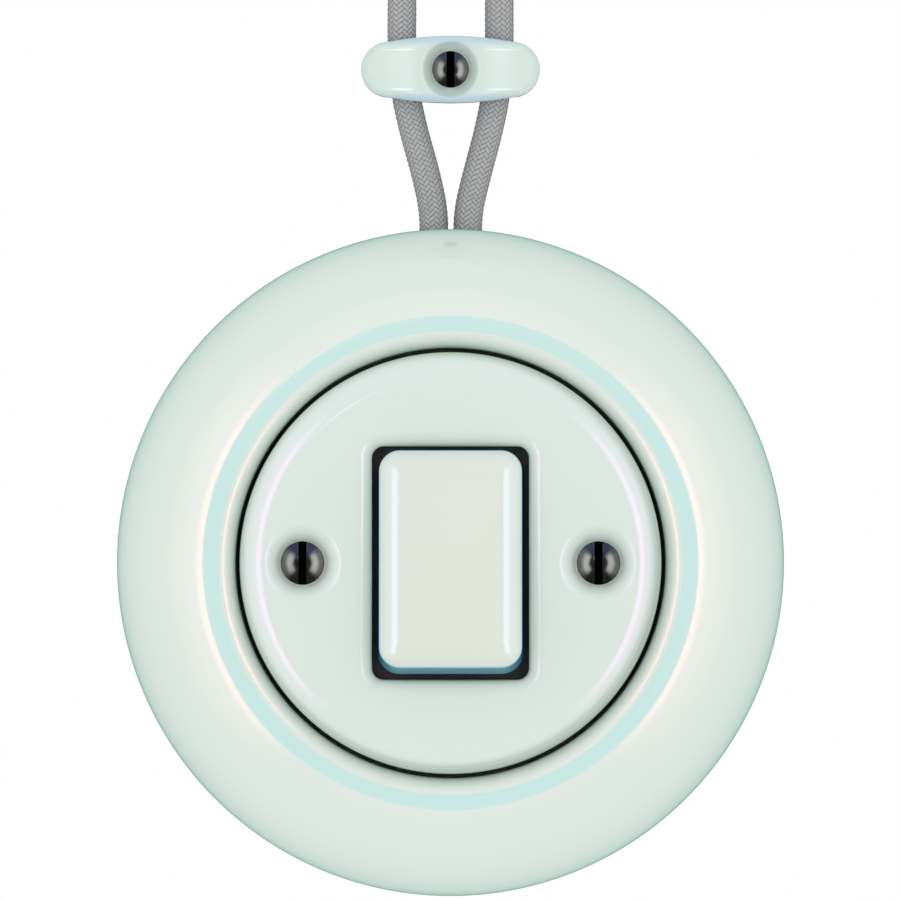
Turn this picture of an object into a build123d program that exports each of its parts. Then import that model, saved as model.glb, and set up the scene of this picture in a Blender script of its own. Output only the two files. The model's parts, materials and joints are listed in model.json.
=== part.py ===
from build123d import *

import math
import os

# Surface-mounted porcelain rocker switch, with its two braided cables and the porcelain clip
# that holds them to the wall above it.
# Frame: the wall is the plane Y = 0, the switch looks out along -Y, +X is right and +Z is up.
# The origin is the switch's centre on the wall. A "depth" is a distance out of the wall, so a
# point at depth d has Y = -d. All lengths are millimetres and all angles degrees.

# Stack from the wall to the cover's face
plate_thickness = 3.0
boss_height = 16.0
yoke_thickness = 1.2
housing_rear_height = 11.0
housing_front_height = 9.0
frame_thickness = 2.1
frame_cover_gap = 1.2
cover_thickness = 4.5

# Porcelain ring
ring_radius = 50.0
ring_side_height = 8.0
ring_wall = 4.5
bore_roll = 2.6
crest_land = 2.2
crest_below_face = 3.0
crest_lead = 2.0
bore_wall = 4.5
ledge_width = 3.6
ledge_thickness = 4.0
foot_chamfer = 0.5
notch_width = 10.6
notch_height = 5.8
notch_corner = 2.0

# Porcelain cover
cover_radius = 31.5
cover_gap = 0.6
cover_rim_height = 9.0
cover_rim_width = 5.0
gasket_thickness = 0.8
gasket_play = 0.1
cover_round_width = 4.5
cover_round_height = 3.2
opening_width = 23.4
opening_height = 34.8
opening_corner = 1.75
lip_radius = 1.8

# Cover screws, and the pillars that they go into
screw_spacing = 44.2
cover_screw_radius = 1.75
cover_screw_length = 13.0
cover_head_radius = 3.25
cover_head_edge = 0.8
cover_head_dome = 0.8
cover_dish_radius = 5.6
cover_dish_floor = 3.7
cover_dish_depth = 2.0
screw_clearance = 0.25
thread_clearance = 0.03
slot_width = 1.2
slot_depth = 1.1
cover_boss_radius = 4.6
boss_pillar_gap = 0.3
pillar_radius = 3.0
pillar_spigot_radius = 2.0

# Plate on the wall, and the steel yoke that it carries
plate_gap = 2.5
plate_rim_width = 1.6
plate_rim_height = 2.0
wall_hole_spacing = 60.0
wall_hole_radius = 2.25
plate_notch_width = 15.0
plate_notch_start = 37.5
boss_radius = 3.2
boss_x = 17.0
boss_z = 23.5
yoke_side_margin = 0.5
yoke_end_margin = 2.6
yoke_corner = 8.0
yoke_screw_radius = 1.2
yoke_screw_length = 10.0
yoke_head_radius = 2.6
yoke_head_height = 1.8
yoke_driver_slot = 0.8

# Mechanism housing and the pivot frame on its front
housing_width = 33.0
housing_height = 39.6
housing_corner = 2.0
shoulder = 1.2
window_clearance = 0.2
ear_width = 10.0
ear_reach = 5.6
ear_thickness = 3.0
rivet_radius = 1.2
rivet_head_radius = 2.2
rivet_head_height = 0.8
cavity_width = 9.2
cavity_floor = 4.0
frame_inset = 1.0
frame_slot_width = 8.6
frame_slot_height = 9.0
frame_slot_corner = 1.0
frame_screw_inset_x = 1.9
frame_screw_inset_z = 2.3
frame_screw_radius = 0.9
frame_screw_length = 7.0
frame_screw_head = 1.7
frame_screw_sink = 1.0
frame_driver_slot = 0.5

# Button, and the cradle inside it
button_width = 21.9
button_height = 33.2
button_corner = 3.4
button_inner_corner = 1.6
button_draft = 2.5
button_front_round = 2.5
button_wall = 2.2
button_face_wall = 2.4
button_proud = 5.0
button_skirt = 3.0
pivot_below_face = 2.0
rocker_tilt = 7.0
pivot_radius = 1.0
pivot_running_clearance = 0.03
pivot_press_clearance = 0.01
post_inner = 5.7
post_outer = 8.3
post_radius = 1.9
post_foot = 3.0
cradle_fit = 0.1
cradle_plate = 2.0
hub_side_gap = 0.3
hub_half_height = 3.2
hub_behind_pivot = 2.0
hub_round = 1.0
neck_radius = 2.8
neck_behind_pivot = 6.4
pin_bite = 2.8

# Spring plunger, and the contact rocker that it tips over
plunger_radius = 1.5
plunger_reach = 10.3
plunger_length = 6.8
plunger_clearance = 0.03
bore_end_gap = 1.2
spring_wire = 0.36
spring_turns = 5
spring_clearance = 0.1
plunger_strip_gap = 0.2
strip_thickness = 1.0
strip_width = 5.0
strip_half_length = 9.6
knife_radius = 0.6
knife_clearance = 0.05
strip_ear_thickness = 0.6
strip_ear_half_width = 1.5
strip_ear_drop = 1.8
contact_arm = 8.0
tip_radius = 1.2
tip_height = 1.0
contact_gap = 0.08

# Conductors in the housing, and the terminals
metal_thickness = 0.8
post_width = 4.0
post_foot_length = 4.4
bracket_width = 4.0
bracket_length = 4.0
arm_width = 1.5
arm_wall_gap = 0.2
arm_end_width = 1.8
slot_play = 0.1
terminal_x = 8.5
terminal_width = 5.4
terminal_length = 6.0
terminal_height = 6.0
terminal_play = 0.2
terminal_back = 1.5
terminal_corner = 0.4
wire_bore_radius = 1.2
terminal_screw_radius = 1.22
terminal_head_radius = 2.2
terminal_head_height = 1.3
terminal_slot_width = 0.7
terminal_slot_depth = 0.6
wire_gap = 0.03

# Cables
cable_radius = 2.175
wire_radius = 0.9
stripped_top = 7.0
wire_bend = 1.5
wire_in_terminal = 5.0

# Porcelain clip above the switch
clip_z = 73.95
clip_half_height = 5.03
clip_side_radius = 51.0
clip_end_x = 9.25
clip_depth = 9.2
clip_arch_radius = 27.0
clip_kink_round = 2.0
clip_front_round = 1.4
channel_x = 6.95
channel_radius = 2.8
channel_centre = 2.2
clip_dish_radius = 4.2
clip_dish_floor = 3.0
clip_dish_depth = 2.0
clip_screw_radius = 1.75
clip_screw_bite = 16.0
clip_screw_point = 4.0
clip_head_radius = 2.75
clip_head_edge = 0.7
clip_head_dome = 0.7

# Cutting tools run this far past what they cut, and faces this close together count as one
overshoot = 1.0
hair = 0.01

# Share of the shorter run that a cable's arc takes up
arc_share = 0.45

# Route of each cable's centre line, from its terminal up to its far end
left_route = [
    (-8.5, -12.5, 19.2),
    (-7.9, -11.4, 25.6),
    (-6.3, -8.8, 32.2),
    (-4.3, -5.6, 38.8),
    (-2.75, -3.2, 45.4),
    (-2.35, -2.35, 52.0),
    (-3.7, -2.35, 58.4),
    (-5.5, -2.35, 64.6),
    (-6.9, -2.35, 71.0),
    (-7.35, -2.35, 77.6),
    (-7.25, -2.35, 84.0),
    (-7.3, -2.35, 90.0),
]
right_route = [
    (8.5, -12.5, 19.2),
    (7.9, -11.4, 25.6),
    (6.3, -8.8, 32.2),
    (4.3, -5.6, 38.8),
    (2.8, -3.2, 45.4),
    (2.45, -2.35, 52.0),
    (4.0, -2.35, 58.4),
    (5.7, -2.35, 64.6),
    (7.0, -2.35, 71.0),
    (7.35, -2.35, 77.6),
    (7.3, -2.35, 84.0),
    (7.4, -2.35, 90.0),
]

# Depths that follow from the stack
yoke_back = plate_thickness + boss_height
yoke_front = yoke_back + yoke_thickness
housing_back = yoke_back - housing_rear_height
housing_front = yoke_front + housing_front_height
frame_front = housing_front + frame_thickness
cover_back = frame_front + frame_cover_gap
cover_face = cover_back + cover_thickness
cover_seat = cover_face - cover_rim_height
ledge_front = cover_seat - gasket_thickness
crest_depth = cover_face - crest_below_face
button_front = cover_face + button_proud
skirt_back = cover_face - button_skirt
pivot_depth = cover_face - pivot_below_face
strip_front = pivot_depth - plunger_reach - plunger_radius - plunger_strip_gap
strip_axis = strip_front - strip_thickness
floor_depth = housing_back + cavity_floor
wire_depth = housing_back + terminal_back + terminal_height / 2
pillar_front = cover_seat
terminal_z = housing_height / 2 - shoulder - terminal_play - terminal_length / 2
rivet_z = (housing_height + ear_reach) / 2

# The ring's bore, and the ledge in it that the gasket and the cover rest on
ring_bore = cover_radius + cover_gap
ledge_inner = ring_bore - ledge_width

# The crest starts where the bore's rolled edge ends
crest_inner_radius = ring_bore + bore_roll
crest_outer_radius = crest_inner_radius + crest_land

# The yoke reaches past the pillars at its sides and past the housing's ears at its ends
yoke_width = screw_spacing + 2 * (pillar_radius + yoke_side_margin)
yoke_height = housing_height + 2 * (ear_reach + yoke_end_margin)

# The contact well is as long as the arms that go through its side into the terminals
arm_outer_level = terminal_z - terminal_length / 2 + arm_end_width
cavity_height = 2 * (arm_outer_level + arm_wall_gap + slot_play)

# The clip's round ends are as high as its long arcs are where they meet them
clip_sag = clip_side_radius - math.sqrt(clip_side_radius**2 - clip_end_x**2)
clip_end_radius = clip_half_height - clip_sag

# The seesaw rests tipped as far as the button, the other way
strip_tilt = rocker_tilt
tip_low = tip_height * math.cos(math.radians(strip_tilt))
tip_low += (contact_arm + tip_radius) * math.sin(math.radians(strip_tilt))
fixed_tip_front = strip_axis - tip_low - contact_gap
bracket_top = fixed_tip_front - tip_height

SIDE = Plane(origin=(0, 0, 0), x_dir=(1, 0, 0), z_dir=(0, 0, -1))
OUTWARD = Axis((0, 0, 0), (0, -1, 0))


def facing(depth):
    """Sketch plane parallel to the wall: its x is X, its y is Z and it looks out of the wall."""
    return Plane(origin=(0, -depth, 0), x_dir=(1, 0, 0), z_dir=(0, -1, 0))


def slab(sketch, back, front, taper=0.0):
    """Prism of a sketch between two depths."""
    return extrude(facing(back) * sketch, amount=front - back, taper=taper)


def rod(radius, back, front, x=0.0, z=0.0):
    """Round bar square to the wall."""
    return slab(Pos(x, z) * Circle(radius), back, front)


def turned(edges):
    """Solid turned about the switch's centre line from a closed outline of radius and depth."""
    return revolve(SIDE * make_face(edges), axis=OUTWARD)


def hinged(piece, depth, angle):
    """The piece turned about the level axis at a depth; a positive angle takes its foot in."""
    return piece.rotate(Axis((0, -depth, 0), (1, 0, 0)), angle)


def rocked(piece):
    """A piece of the button, drawn square to the wall, as it rests with its top pressed in."""
    return hinged(piece, pivot_depth, -rocker_tilt)


def tipped(piece):
    """A piece of the contact rocker, as it rests with its lower end pressed in."""
    return hinged(piece, strip_axis, strip_tilt)


def dish(radius, floor_radius, depth, face):
    """Soft round hollow under a face, flat at its floor and at its brim."""
    floor = face - depth
    above = face + overshoot
    curve = Spline((floor_radius, floor), (radius, face), tangents=((1, 0), (1, 0)))
    rest = Polyline((radius, face), (radius, above), (0, above), (0, floor), (floor_radius, floor))
    return turned([curve, rest])


def slotted_screw(head_radius, edge, dome, shank_radius, seat, tip, point=0.0):
    """Domed screw with one upright slot, its head on a seat and its shank down to a tip."""
    rise = seat + edge
    top = rise + dome
    crown_radius = (head_radius**2 + dome**2) / (2 * dome)
    crown = RadiusArc((head_radius, rise), (0, top), -crown_radius)
    rest = [
        Line((0, top), (0, tip)),
        Line((0, tip), (shank_radius, tip + point)),
        Line((shank_radius, tip + point), (shank_radius, seat)),
        Line((shank_radius, seat), (head_radius, seat)),
        Line((head_radius, seat), (head_radius, rise)),
    ]
    slot = slab(Rectangle(slot_width, 4 * head_radius), top - slot_depth, top + overshoot)
    return turned([crown, *rest]) - slot


def pair(piece, x=0.0, z=0.0):
    """Two copies of a piece, moved both ways from the centre line."""
    return [Pos(x, 0, z) * piece, Pos(-x, 0, -z) * piece]


def flank():
    """Ring's outer curve: part of an ellipse, upright at the side and sloping at the crest."""
    width = ring_radius - crest_outer_radius + crest_lead
    share = crest_lead / width
    rise = (crest_depth - ring_side_height) / math.sqrt(1 - share**2)
    centre = (crest_outer_radius - crest_lead, ring_side_height)
    return EllipticalCenterArc(centre, width, rise, arc_size=math.degrees(math.acos(share)))


def ring_body():
    """Porcelain ring: a shell open at the back, with a ledge inside for the cover."""
    bore = ring_bore
    roll_start = crest_depth - bore_roll
    ledge_back = ledge_front - ledge_thickness
    outer_rise = crest_depth - ring_side_height
    sweep_width = ring_radius - crest_outer_radius
    side = ring_side_height
    groove = bore + bore_wall
    top = crest_depth - ring_wall
    front = [
        flank(),
        Line((crest_outer_radius, crest_depth), (crest_inner_radius, crest_depth)),
        CenterArc((crest_inner_radius, roll_start), bore_roll, 90, 90),
        Polyline(
            (bore, roll_start),
            (bore, ledge_front),
            (ledge_inner, ledge_front),
            (ledge_inner, ledge_back),
            (groove, ledge_back),
            (groove, top),
            (crest_outer_radius, top),
        ),
    ]
    back = [
        EllipticalCenterArc(
            (crest_outer_radius, side), sweep_width - ring_wall, outer_rise - ring_wall, arc_size=90
        ),
        Polyline(
            (ring_radius - ring_wall, side),
            (ring_radius - ring_wall, 0),
            (ring_radius - foot_chamfer, 0),
            (ring_radius, foot_chamfer),
            (ring_radius, side),
        ),
    ]
    shell = turned(front + back)
    mouth = slab(
        Pos(0, ring_radius - ring_wall) * Rectangle(notch_width, 4 * ring_wall),
        -overshoot,
        notch_height,
    )
    mouth = fillet(mouth.faces().sort_by(Axis.Y)[0].edges().filter_by(Axis.Z), notch_corner)
    return shell - mouth


def cover_gasket():
    """Black rubber washer between the ring's ledge and the cover's rim."""
    outer = Circle(ring_bore - gasket_play)
    return slab(outer - Circle(ledge_inner), ledge_front, cover_seat)


def cover_disc():
    """Porcelain cover: a shallow cap with the button's opening and two dished screw seats."""
    hollow = cover_radius - cover_rim_width
    shoulder_r = cover_radius - cover_round_width
    shoulder_d = cover_face - cover_round_height
    cap = turned([
        EllipticalCenterArc((shoulder_r, shoulder_d), cover_round_width, cover_round_height, arc_size=90),
        Polyline(
            (shoulder_r, cover_face),
            (0, cover_face),
            (0, cover_back),
            (hollow, cover_back),
            (hollow, cover_seat),
            (cover_radius, cover_seat),
            (cover_radius, shoulder_d),
        ),
    ])
    reach = screw_spacing / 2
    for boss in pair(rod(cover_boss_radius, cover_seat + boss_pillar_gap, cover_back), reach):
        cap += boss
    opening = RectangleRounded(opening_width, opening_height, opening_corner)
    cap -= slab(opening, cover_back - overshoot, cover_face + overshoot)
    brim = [e for e in cap.edges() if abs(e.center().Y + cover_face) < hair and in_opening(e)]
    cap = fillet(brim, lip_radius)
    seat = dish(cover_dish_radius, cover_dish_floor, cover_dish_depth, cover_face)
    hole = rod(cover_screw_radius + screw_clearance, cover_seat, cover_face)
    for cut in pair(seat + hole, reach):
        cap -= cut
    return cap


def in_opening(edge):
    """Whether an edge of the cover's face belongs to the button's opening."""
    middle = edge.center()
    outside = max(abs(middle.X) - opening_width / 2, abs(middle.Z) - opening_height / 2)
    return outside < hair


def cover_screws():
    """Two slotted screws that hold the cover to the pillars."""
    seat = cover_face - cover_dish_depth
    screw = slotted_screw(
        cover_head_radius, cover_head_edge, cover_head_dome,
        cover_screw_radius, seat, seat - cover_screw_length,
    )
    return pair(screw, screw_spacing / 2)


def cover_pillars():
    """Two tapped pillars riveted to the yoke."""
    tapped = cover_screw_radius + thread_clearance
    pillar = rod(pillar_radius, yoke_front, pillar_front)
    pillar += rod(pillar_spigot_radius, yoke_back, yoke_front)
    pillar -= rod(tapped, yoke_back, pillar_front)
    return pair(pillar, screw_spacing / 2)


def wall_plate():
    """Moulded plate on the wall: rim, two bosses for the yoke, two screw holes, a cable notch."""
    radius = ring_radius - ring_wall - plate_gap
    plate = rod(radius, 0, plate_thickness + plate_rim_height)
    plate -= rod(radius - plate_rim_width, plate_thickness, plate_thickness + plate_rim_height)
    for boss in pair(rod(boss_radius, plate_thickness, yoke_back), -boss_x, boss_z):
        plate += boss
    pilot = rod(yoke_screw_radius + thread_clearance, yoke_back - yoke_screw_length, yoke_back)
    for cut in pair(pilot, -boss_x, boss_z):
        plate -= cut
    for cut in pair(rod(wall_hole_radius, 0, plate_thickness), wall_hole_spacing / 2):
        plate -= cut
    tall = radius
    notch = Pos(0, plate_notch_start + tall / 2) * Rectangle(plate_notch_width, tall)
    return plate - slab(notch, 0, plate_thickness + plate_rim_height)


def support_yoke():
    """Stamped steel plate that holds the housing in its window."""
    window = RectangleRounded(
        housing_width - 2 * (shoulder - window_clearance),
        housing_height - 2 * (shoulder - window_clearance),
        housing_corner,
    )
    blank = RectangleRounded(yoke_width, yoke_height, yoke_corner) - window
    yoke = slab(blank, yoke_back, yoke_front)
    holes = pair(rod(pillar_spigot_radius, yoke_back, yoke_front), screw_spacing / 2)
    holes += pair(rod(yoke_screw_radius + screw_clearance, yoke_back, yoke_front), -boss_x, boss_z)
    holes += pair(rod(rivet_radius, yoke_back, yoke_front), 0, rivet_z)
    for hole in holes:
        yoke -= hole
    return yoke


def yoke_screws():
    """Two slotted screws that hold the yoke to the plate's bosses."""
    top = yoke_front + yoke_head_height
    screw = rod(yoke_screw_radius, yoke_back - yoke_screw_length, yoke_front)
    screw += rod(yoke_head_radius, yoke_front, top)
    screw -= slab(Rectangle(yoke_driver_slot, 4 * yoke_head_radius), top - yoke_driver_slot, top)
    return pair(screw, -boss_x, boss_z)


def terminals():
    """Places of the three terminals: common, upper and lower."""
    return {
        "common": (-terminal_x, terminal_z),
        "upper": (terminal_x, terminal_z),
        "lower": (terminal_x, -terminal_z),
    }


def mechanism_housing():
    """Moulded housing: shouldered block with a contact well, three terminal pockets, two ears."""
    rear = RectangleRounded(
        housing_width - 2 * shoulder, housing_height - 2 * shoulder, housing_corner
    )
    front = RectangleRounded(housing_width, housing_height, housing_corner)
    body = slab(rear, housing_back, yoke_front) + slab(front, yoke_front, housing_front)
    ear_span = housing_height + 2 * ear_reach
    ears = SlotOverall(ear_span, ear_width, rotation=90)
    body += slab(ears, yoke_front, yoke_front + ear_thickness)
    body -= slab(Rectangle(cavity_width, cavity_height), floor_depth, housing_front)
    for cut in pair(rod(rivet_radius, yoke_front, yoke_front + ear_thickness), 0, rivet_z):
        body -= cut
    top = housing_back + terminal_back + terminal_height + terminal_play
    pocket_width = terminal_width + 2 * terminal_play
    pocket_length = terminal_length + 2 * terminal_play
    for x, z in terminals().values():
        out = math.copysign(terminal_play, z)
        pocket = Pos(x, z + out) * Rectangle(pocket_width, pocket_length + 2 * terminal_play)
        body -= slab(pocket, housing_back, top)
        body -= slab(arm_slot(x, z), floor_depth, floor_depth + metal_thickness + slot_play)
    for x, z in frame_screw_places():
        pilot = rod(
            frame_screw_radius + thread_clearance, frame_front - frame_screw_length, housing_front, x, z
        )
        body -= pilot
    return body


def arm_level(z):
    """Level at which a conductor's arm goes through the well's side into a terminal."""
    inner = abs(z) - terminal_length / 2
    return math.copysign(inner + arm_end_width / 2, z)


def arm_slot(x, z):
    """Slot in the well's side for a conductor's arm."""
    inner = cavity_width / 2
    outer = terminal_x - terminal_width / 2
    span = outer - inner + 2 * slot_play
    centre = math.copysign((inner + outer) / 2, x)
    return Pos(centre, arm_level(z)) * Rectangle(span, arm_end_width + 2 * slot_play)


def housing_rivets():
    """Two rivets through the housing's ears and the yoke."""
    back = yoke_back - rivet_head_height
    front = yoke_front + ear_thickness
    rivet = rod(rivet_radius, yoke_back, front)
    rivet += rod(rivet_head_radius, back, yoke_back)
    rivet += rod(rivet_head_radius, front, front + rivet_head_height)
    return pair(rivet, 0, rivet_z)


def frame_screw_places():
    """Places of the four screws at the pivot frame's corners."""
    x = housing_width / 2 - frame_inset - frame_screw_inset_x
    z = housing_height / 2 - frame_inset - frame_screw_inset_z
    return [(i * x, j * z) for i in (-1, 1) for j in (-1, 1)]


def post_outline():
    """Side view of a pivot post, as height and level: round about the pin, wider at its foot."""
    rise = pivot_depth - frame_front
    lean = Polyline(
        (-post_foot, 0), (post_foot, 0), (post_radius, rise / 2), (post_radius, rise),
        (-post_radius, rise), (-post_radius, rise / 2), (-post_foot, 0),
    )
    return make_face(lean) + Pos(0, rise) * Circle(post_radius)


def pivot_frame():
    """Moulded frame behind the cover's opening, with two posts that carry the button's pivot."""
    outline = RectangleRounded(
        housing_width - 2 * frame_inset, housing_height - 2 * frame_inset, housing_corner
    )
    slot = RectangleRounded(frame_slot_width, frame_slot_height, frame_slot_corner)
    frame = slab(outline - slot, housing_front, frame_front)
    sideways = Plane(origin=(post_inner, -frame_front, 0), x_dir=(0, 0, 1), z_dir=(1, 0, 0))
    post = extrude(sideways * post_outline(), amount=post_outer - post_inner)
    frame += post + mirror(post, Plane.YZ)
    for pin in pivot_bars(pivot_radius + pivot_press_clearance, post_inner, post_outer):
        frame -= pin
    for x, z in frame_screw_places():
        frame -= rod(frame_screw_radius + screw_clearance, housing_front, frame_front, x, z)
        frame -= Pos(x, 0, z) * frame_screw_cone()
    return frame


def frame_screw_cone():
    """Countersink of a frame screw, at the centre line."""
    deep = frame_front - frame_screw_sink
    return turned(Polyline((0, deep), (frame_screw_radius, deep), (frame_screw_head, frame_front),
                           (0, frame_front), (0, deep)))


def frame_screws():
    """Four countersunk screws that hold the pivot frame to the housing."""
    tip = frame_front - frame_screw_length
    screw = frame_screw_cone() + rod(frame_screw_radius, tip, frame_front - frame_screw_sink)
    slot = Rectangle(frame_driver_slot, 4 * frame_screw_head)
    screw -= slab(slot, frame_front - frame_driver_slot, frame_front)
    return [Pos(x, 0, z) * screw for x, z in frame_screw_places()]


def pivot_bars(radius, inner, outer):
    """Two level bars on the button's pivot line, one each side of the middle."""
    bar = Plane(origin=(inner, -pivot_depth, 0), z_dir=(1, 0, 0)) * Circle(radius)
    right = extrude(bar, amount=outer - inner)
    return [right, mirror(right, Plane.YZ)]


def pivot_pins():
    """Two stub pins, pressed into the posts, on which the cradle rocks."""
    return pivot_bars(pivot_radius, post_inner - hub_side_gap - pin_bite, post_outer)


def narrowing(height):
    """How much narrower the button's drafted form is at a height above its skirt."""
    return 2 * height * math.tan(math.radians(button_draft))


def button():
    """Porcelain button: a hollow drafted cap with soft edges."""
    height = button_front - skirt_back
    cap = slab(RectangleRounded(button_width, button_height, button_corner),
               skirt_back, button_front, taper=button_draft)
    cap = fillet(cap.faces().sort_by(Axis.Y)[0].edges(), button_front_round)
    inside = RectangleRounded(
        button_width - 2 * button_wall, button_height - 2 * button_wall, button_inner_corner
    )
    cap -= slab(inside, skirt_back, skirt_back + height - button_face_wall, taper=button_draft)
    return rocked(cap)


def rocker_cradle():
    """Moulded cradle under the button's face: plate, hub for the pivot, neck for the plunger."""
    front = button_front - button_face_wall
    back = front - cradle_plate
    less = 2 * button_wall + 2 * cradle_fit + narrowing(back - skirt_back)
    plate = slab(
        RectangleRounded(button_width - less, button_height - less, button_inner_corner),
        back, front, taper=button_draft,
    )
    hub_half = post_inner - hub_side_gap
    hub_back = pivot_depth - hub_behind_pivot
    hub = slab(Rectangle(2 * hub_half, 2 * hub_half_height), hub_back, back)
    hub = fillet(hub.faces().sort_by(Axis.Y)[-1].edges().filter_by(Axis.X), hub_round)
    neck_back = pivot_depth - neck_behind_pivot
    cradle = plate + hub + rod(neck_radius, neck_back, hub_back)
    cradle -= rod(plunger_radius + plunger_clearance, neck_back, front - bore_end_gap - cradle_plate)
    running = pivot_radius + pivot_running_clearance
    for hole in pivot_bars(running, hub_half - pin_bite, hub_half):
        cradle -= hole
    return rocked(cradle)


def plunger_front():
    """Depth of the plunger's flat end, before the button is rocked."""
    return pivot_depth - plunger_reach + plunger_length


def plunger():
    """Round-nosed plunger in the cradle's neck."""
    nose = pivot_depth - plunger_reach
    pin = rod(plunger_radius, nose, plunger_front())
    return rocked(pin + Pos(0, -nose, 0) * Sphere(plunger_radius))


def detent_spring():
    """Helical spring between the plunger and the end of its bore."""
    start = plunger_front() + spring_wire / 2
    end = button_front - button_face_wall - cradle_plate - bore_end_gap - spring_wire / 2
    radius = plunger_radius - spring_clearance - spring_wire / 2
    helix = Helix((end - start) / spring_turns, end - start, radius)
    wire = Plane(origin=helix @ 0, z_dir=helix % 0) * Circle(spring_wire / 2)
    coil = sweep(wire, path=helix, is_frenet=True)
    return rocked(facing(start).location * coil)


def contact_rocker():
    """Brass seesaw strip with a knife groove and two guide ears."""
    strip = slab(Rectangle(strip_width, 2 * strip_half_length), strip_axis, strip_front)
    ear_x = (strip_width + strip_ear_thickness) / 2
    ear = Rectangle(strip_ear_thickness, 2 * strip_ear_half_width)
    for side in (-1, 1):
        strip += slab(Pos(side * ear_x, 0) * ear, strip_axis - strip_ear_drop, strip_front)
    groove = Cylinder(knife_radius + knife_clearance, strip_width, rotation=(0, 90, 0))
    strip -= Pos(0, -strip_axis, 0) * groove
    return tipped(strip)


def moving_tips():
    """Two silver tips under the seesaw's ends."""
    tip = rod(tip_radius, strip_axis - tip_height, strip_axis)
    return [tipped(t) for t in pair(tip, 0, contact_arm)]


def knife_post():
    """Side view of the common post, as level and depth: a foot and a web with a round edge."""
    foot = Pos(0, metal_thickness / 2) * Rectangle(post_foot_length, metal_thickness)
    rise = strip_axis - floor_depth
    web = Pos(0, rise / 2) * Rectangle(2 * knife_radius, rise)
    return foot + web + Pos(0, rise) * Circle(knife_radius)


def bracket_profile():
    """Side view of a fixed contact's bracket, as level and depth: foot, web and table."""
    rise = bracket_top - floor_depth
    near = contact_arm - bracket_length / 2
    far = contact_arm + bracket_length / 2
    foot = Pos((near + far) / 2, metal_thickness / 2) * Rectangle(bracket_length, metal_thickness)
    web = Pos(far - metal_thickness / 2, rise / 2) * Rectangle(metal_thickness, rise)
    table = Pos((near + far) / 2, rise - metal_thickness / 2) * Rectangle(bracket_length, metal_thickness)
    return foot + web + table


def bent(profile, width):
    """Strip of metal bent to a side view of level and depth above the well's floor."""
    side = Plane(origin=(-width / 2, -floor_depth, 0), x_dir=(0, 0, 1), z_dir=(1, 0, 0))
    return extrude(side * profile, amount=width)


def arm(x, z, start, half_width):
    """Flat arm on the well's floor, from a foot at a level to the terminal at x and z."""
    side = math.copysign(1, x)
    outer = side * (cavity_width / 2 - arm_wall_gap)
    inner = outer - side * arm_width
    level = arm_level(z)
    end = level + math.copysign(arm_end_width / 2, z)
    run = Pos((outer + inner) / 2, (start + end) / 2) * Rectangle(arm_width, abs(end - start))
    foot_inner = side * half_width
    if abs(inner) > half_width:
        link = Pos((foot_inner + outer) / 2, start) * Rectangle(abs(outer - foot_inner), arm_end_width)
        run += link
    reach = side * (terminal_x - terminal_width / 2)
    tail = Pos((inner + reach) / 2, level) * Rectangle(abs(reach - inner), arm_end_width)
    return slab(run + tail, floor_depth, floor_depth + metal_thickness)


def contact_post():
    """Brass post that the seesaw rocks on, with its arm to the common terminal."""
    x, z = terminals()["common"]
    return bent(knife_post(), post_width) + arm(x, z, 0.0, post_width / 2)


def fixed_contact(name):
    """Brass bracket under one end of the seesaw, with its arm to its terminal."""
    x, z = terminals()[name]
    bracket = bent(bracket_profile(), bracket_width)
    if z < 0:
        bracket = mirror(bracket, Plane.XY)
    return bracket + arm(x, z, math.copysign(contact_arm, z), bracket_width / 2)


def fixed_tips():
    """Two silver tips on the brackets."""
    return pair(rod(tip_radius, bracket_top, fixed_tip_front), 0, contact_arm)


def terminal_cage(name):
    """Brass cage with a bore for the wire and a tapped hole from behind."""
    x, z = terminals()[name]
    back = housing_back + terminal_back
    block = RectangleRounded(terminal_width, terminal_length, terminal_corner)
    cage = slab(Pos(x, z) * block, back, back + terminal_height)
    cage -= Pos(x, -wire_depth, z) * Cylinder(wire_bore_radius, terminal_length)
    tapped = terminal_screw_radius + thread_clearance
    return cage - rod(tapped, back, wire_depth, x, z)


def terminal_screws():
    """Three screws that clamp the wires from behind."""
    back = housing_back + terminal_back
    tip = wire_depth - wire_radius - wire_gap
    screw = rod(terminal_screw_radius, back, tip)
    screw += rod(terminal_head_radius, back - terminal_head_height, back)
    slot = Rectangle(terminal_slot_width, 4 * terminal_head_radius)
    screw -= slab(slot, 0, back - terminal_head_height + terminal_slot_depth)
    return [Pos(x, 0, z) * screw for x, z in terminals().values()]


def tube(points, radius, label):
    """Round bar along straight runs joined by arcs as large as the runs allow."""
    corners = [Vector(p) for p in points]
    runs = [b - a for a, b in zip(corners, corners[1:])]
    radii = []
    for before, after in zip(runs, runs[1:]):
        half_turn = math.radians(before.get_angle(after)) / 2
        radii.append(arc_share * min(before.length, after.length) / math.tan(half_turn))
    path = FilletPolyline(*corners, radius=radii) if len(radii) > 1 else FilletPolyline(
        *corners, radius=radii[0])
    section = Plane(origin=path @ 0, z_dir=path % 0) * Circle(radius)
    bar = sweep(section, path=path)
    swept = math.pi * radius**2 * path.length
    print(f"{label}: {path.length:.1f} mm long, volume {bar.volume / swept:.4f} of section x length,"
          f" radii {[round(r, 1) for r in radii]}")
    return bar


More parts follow.
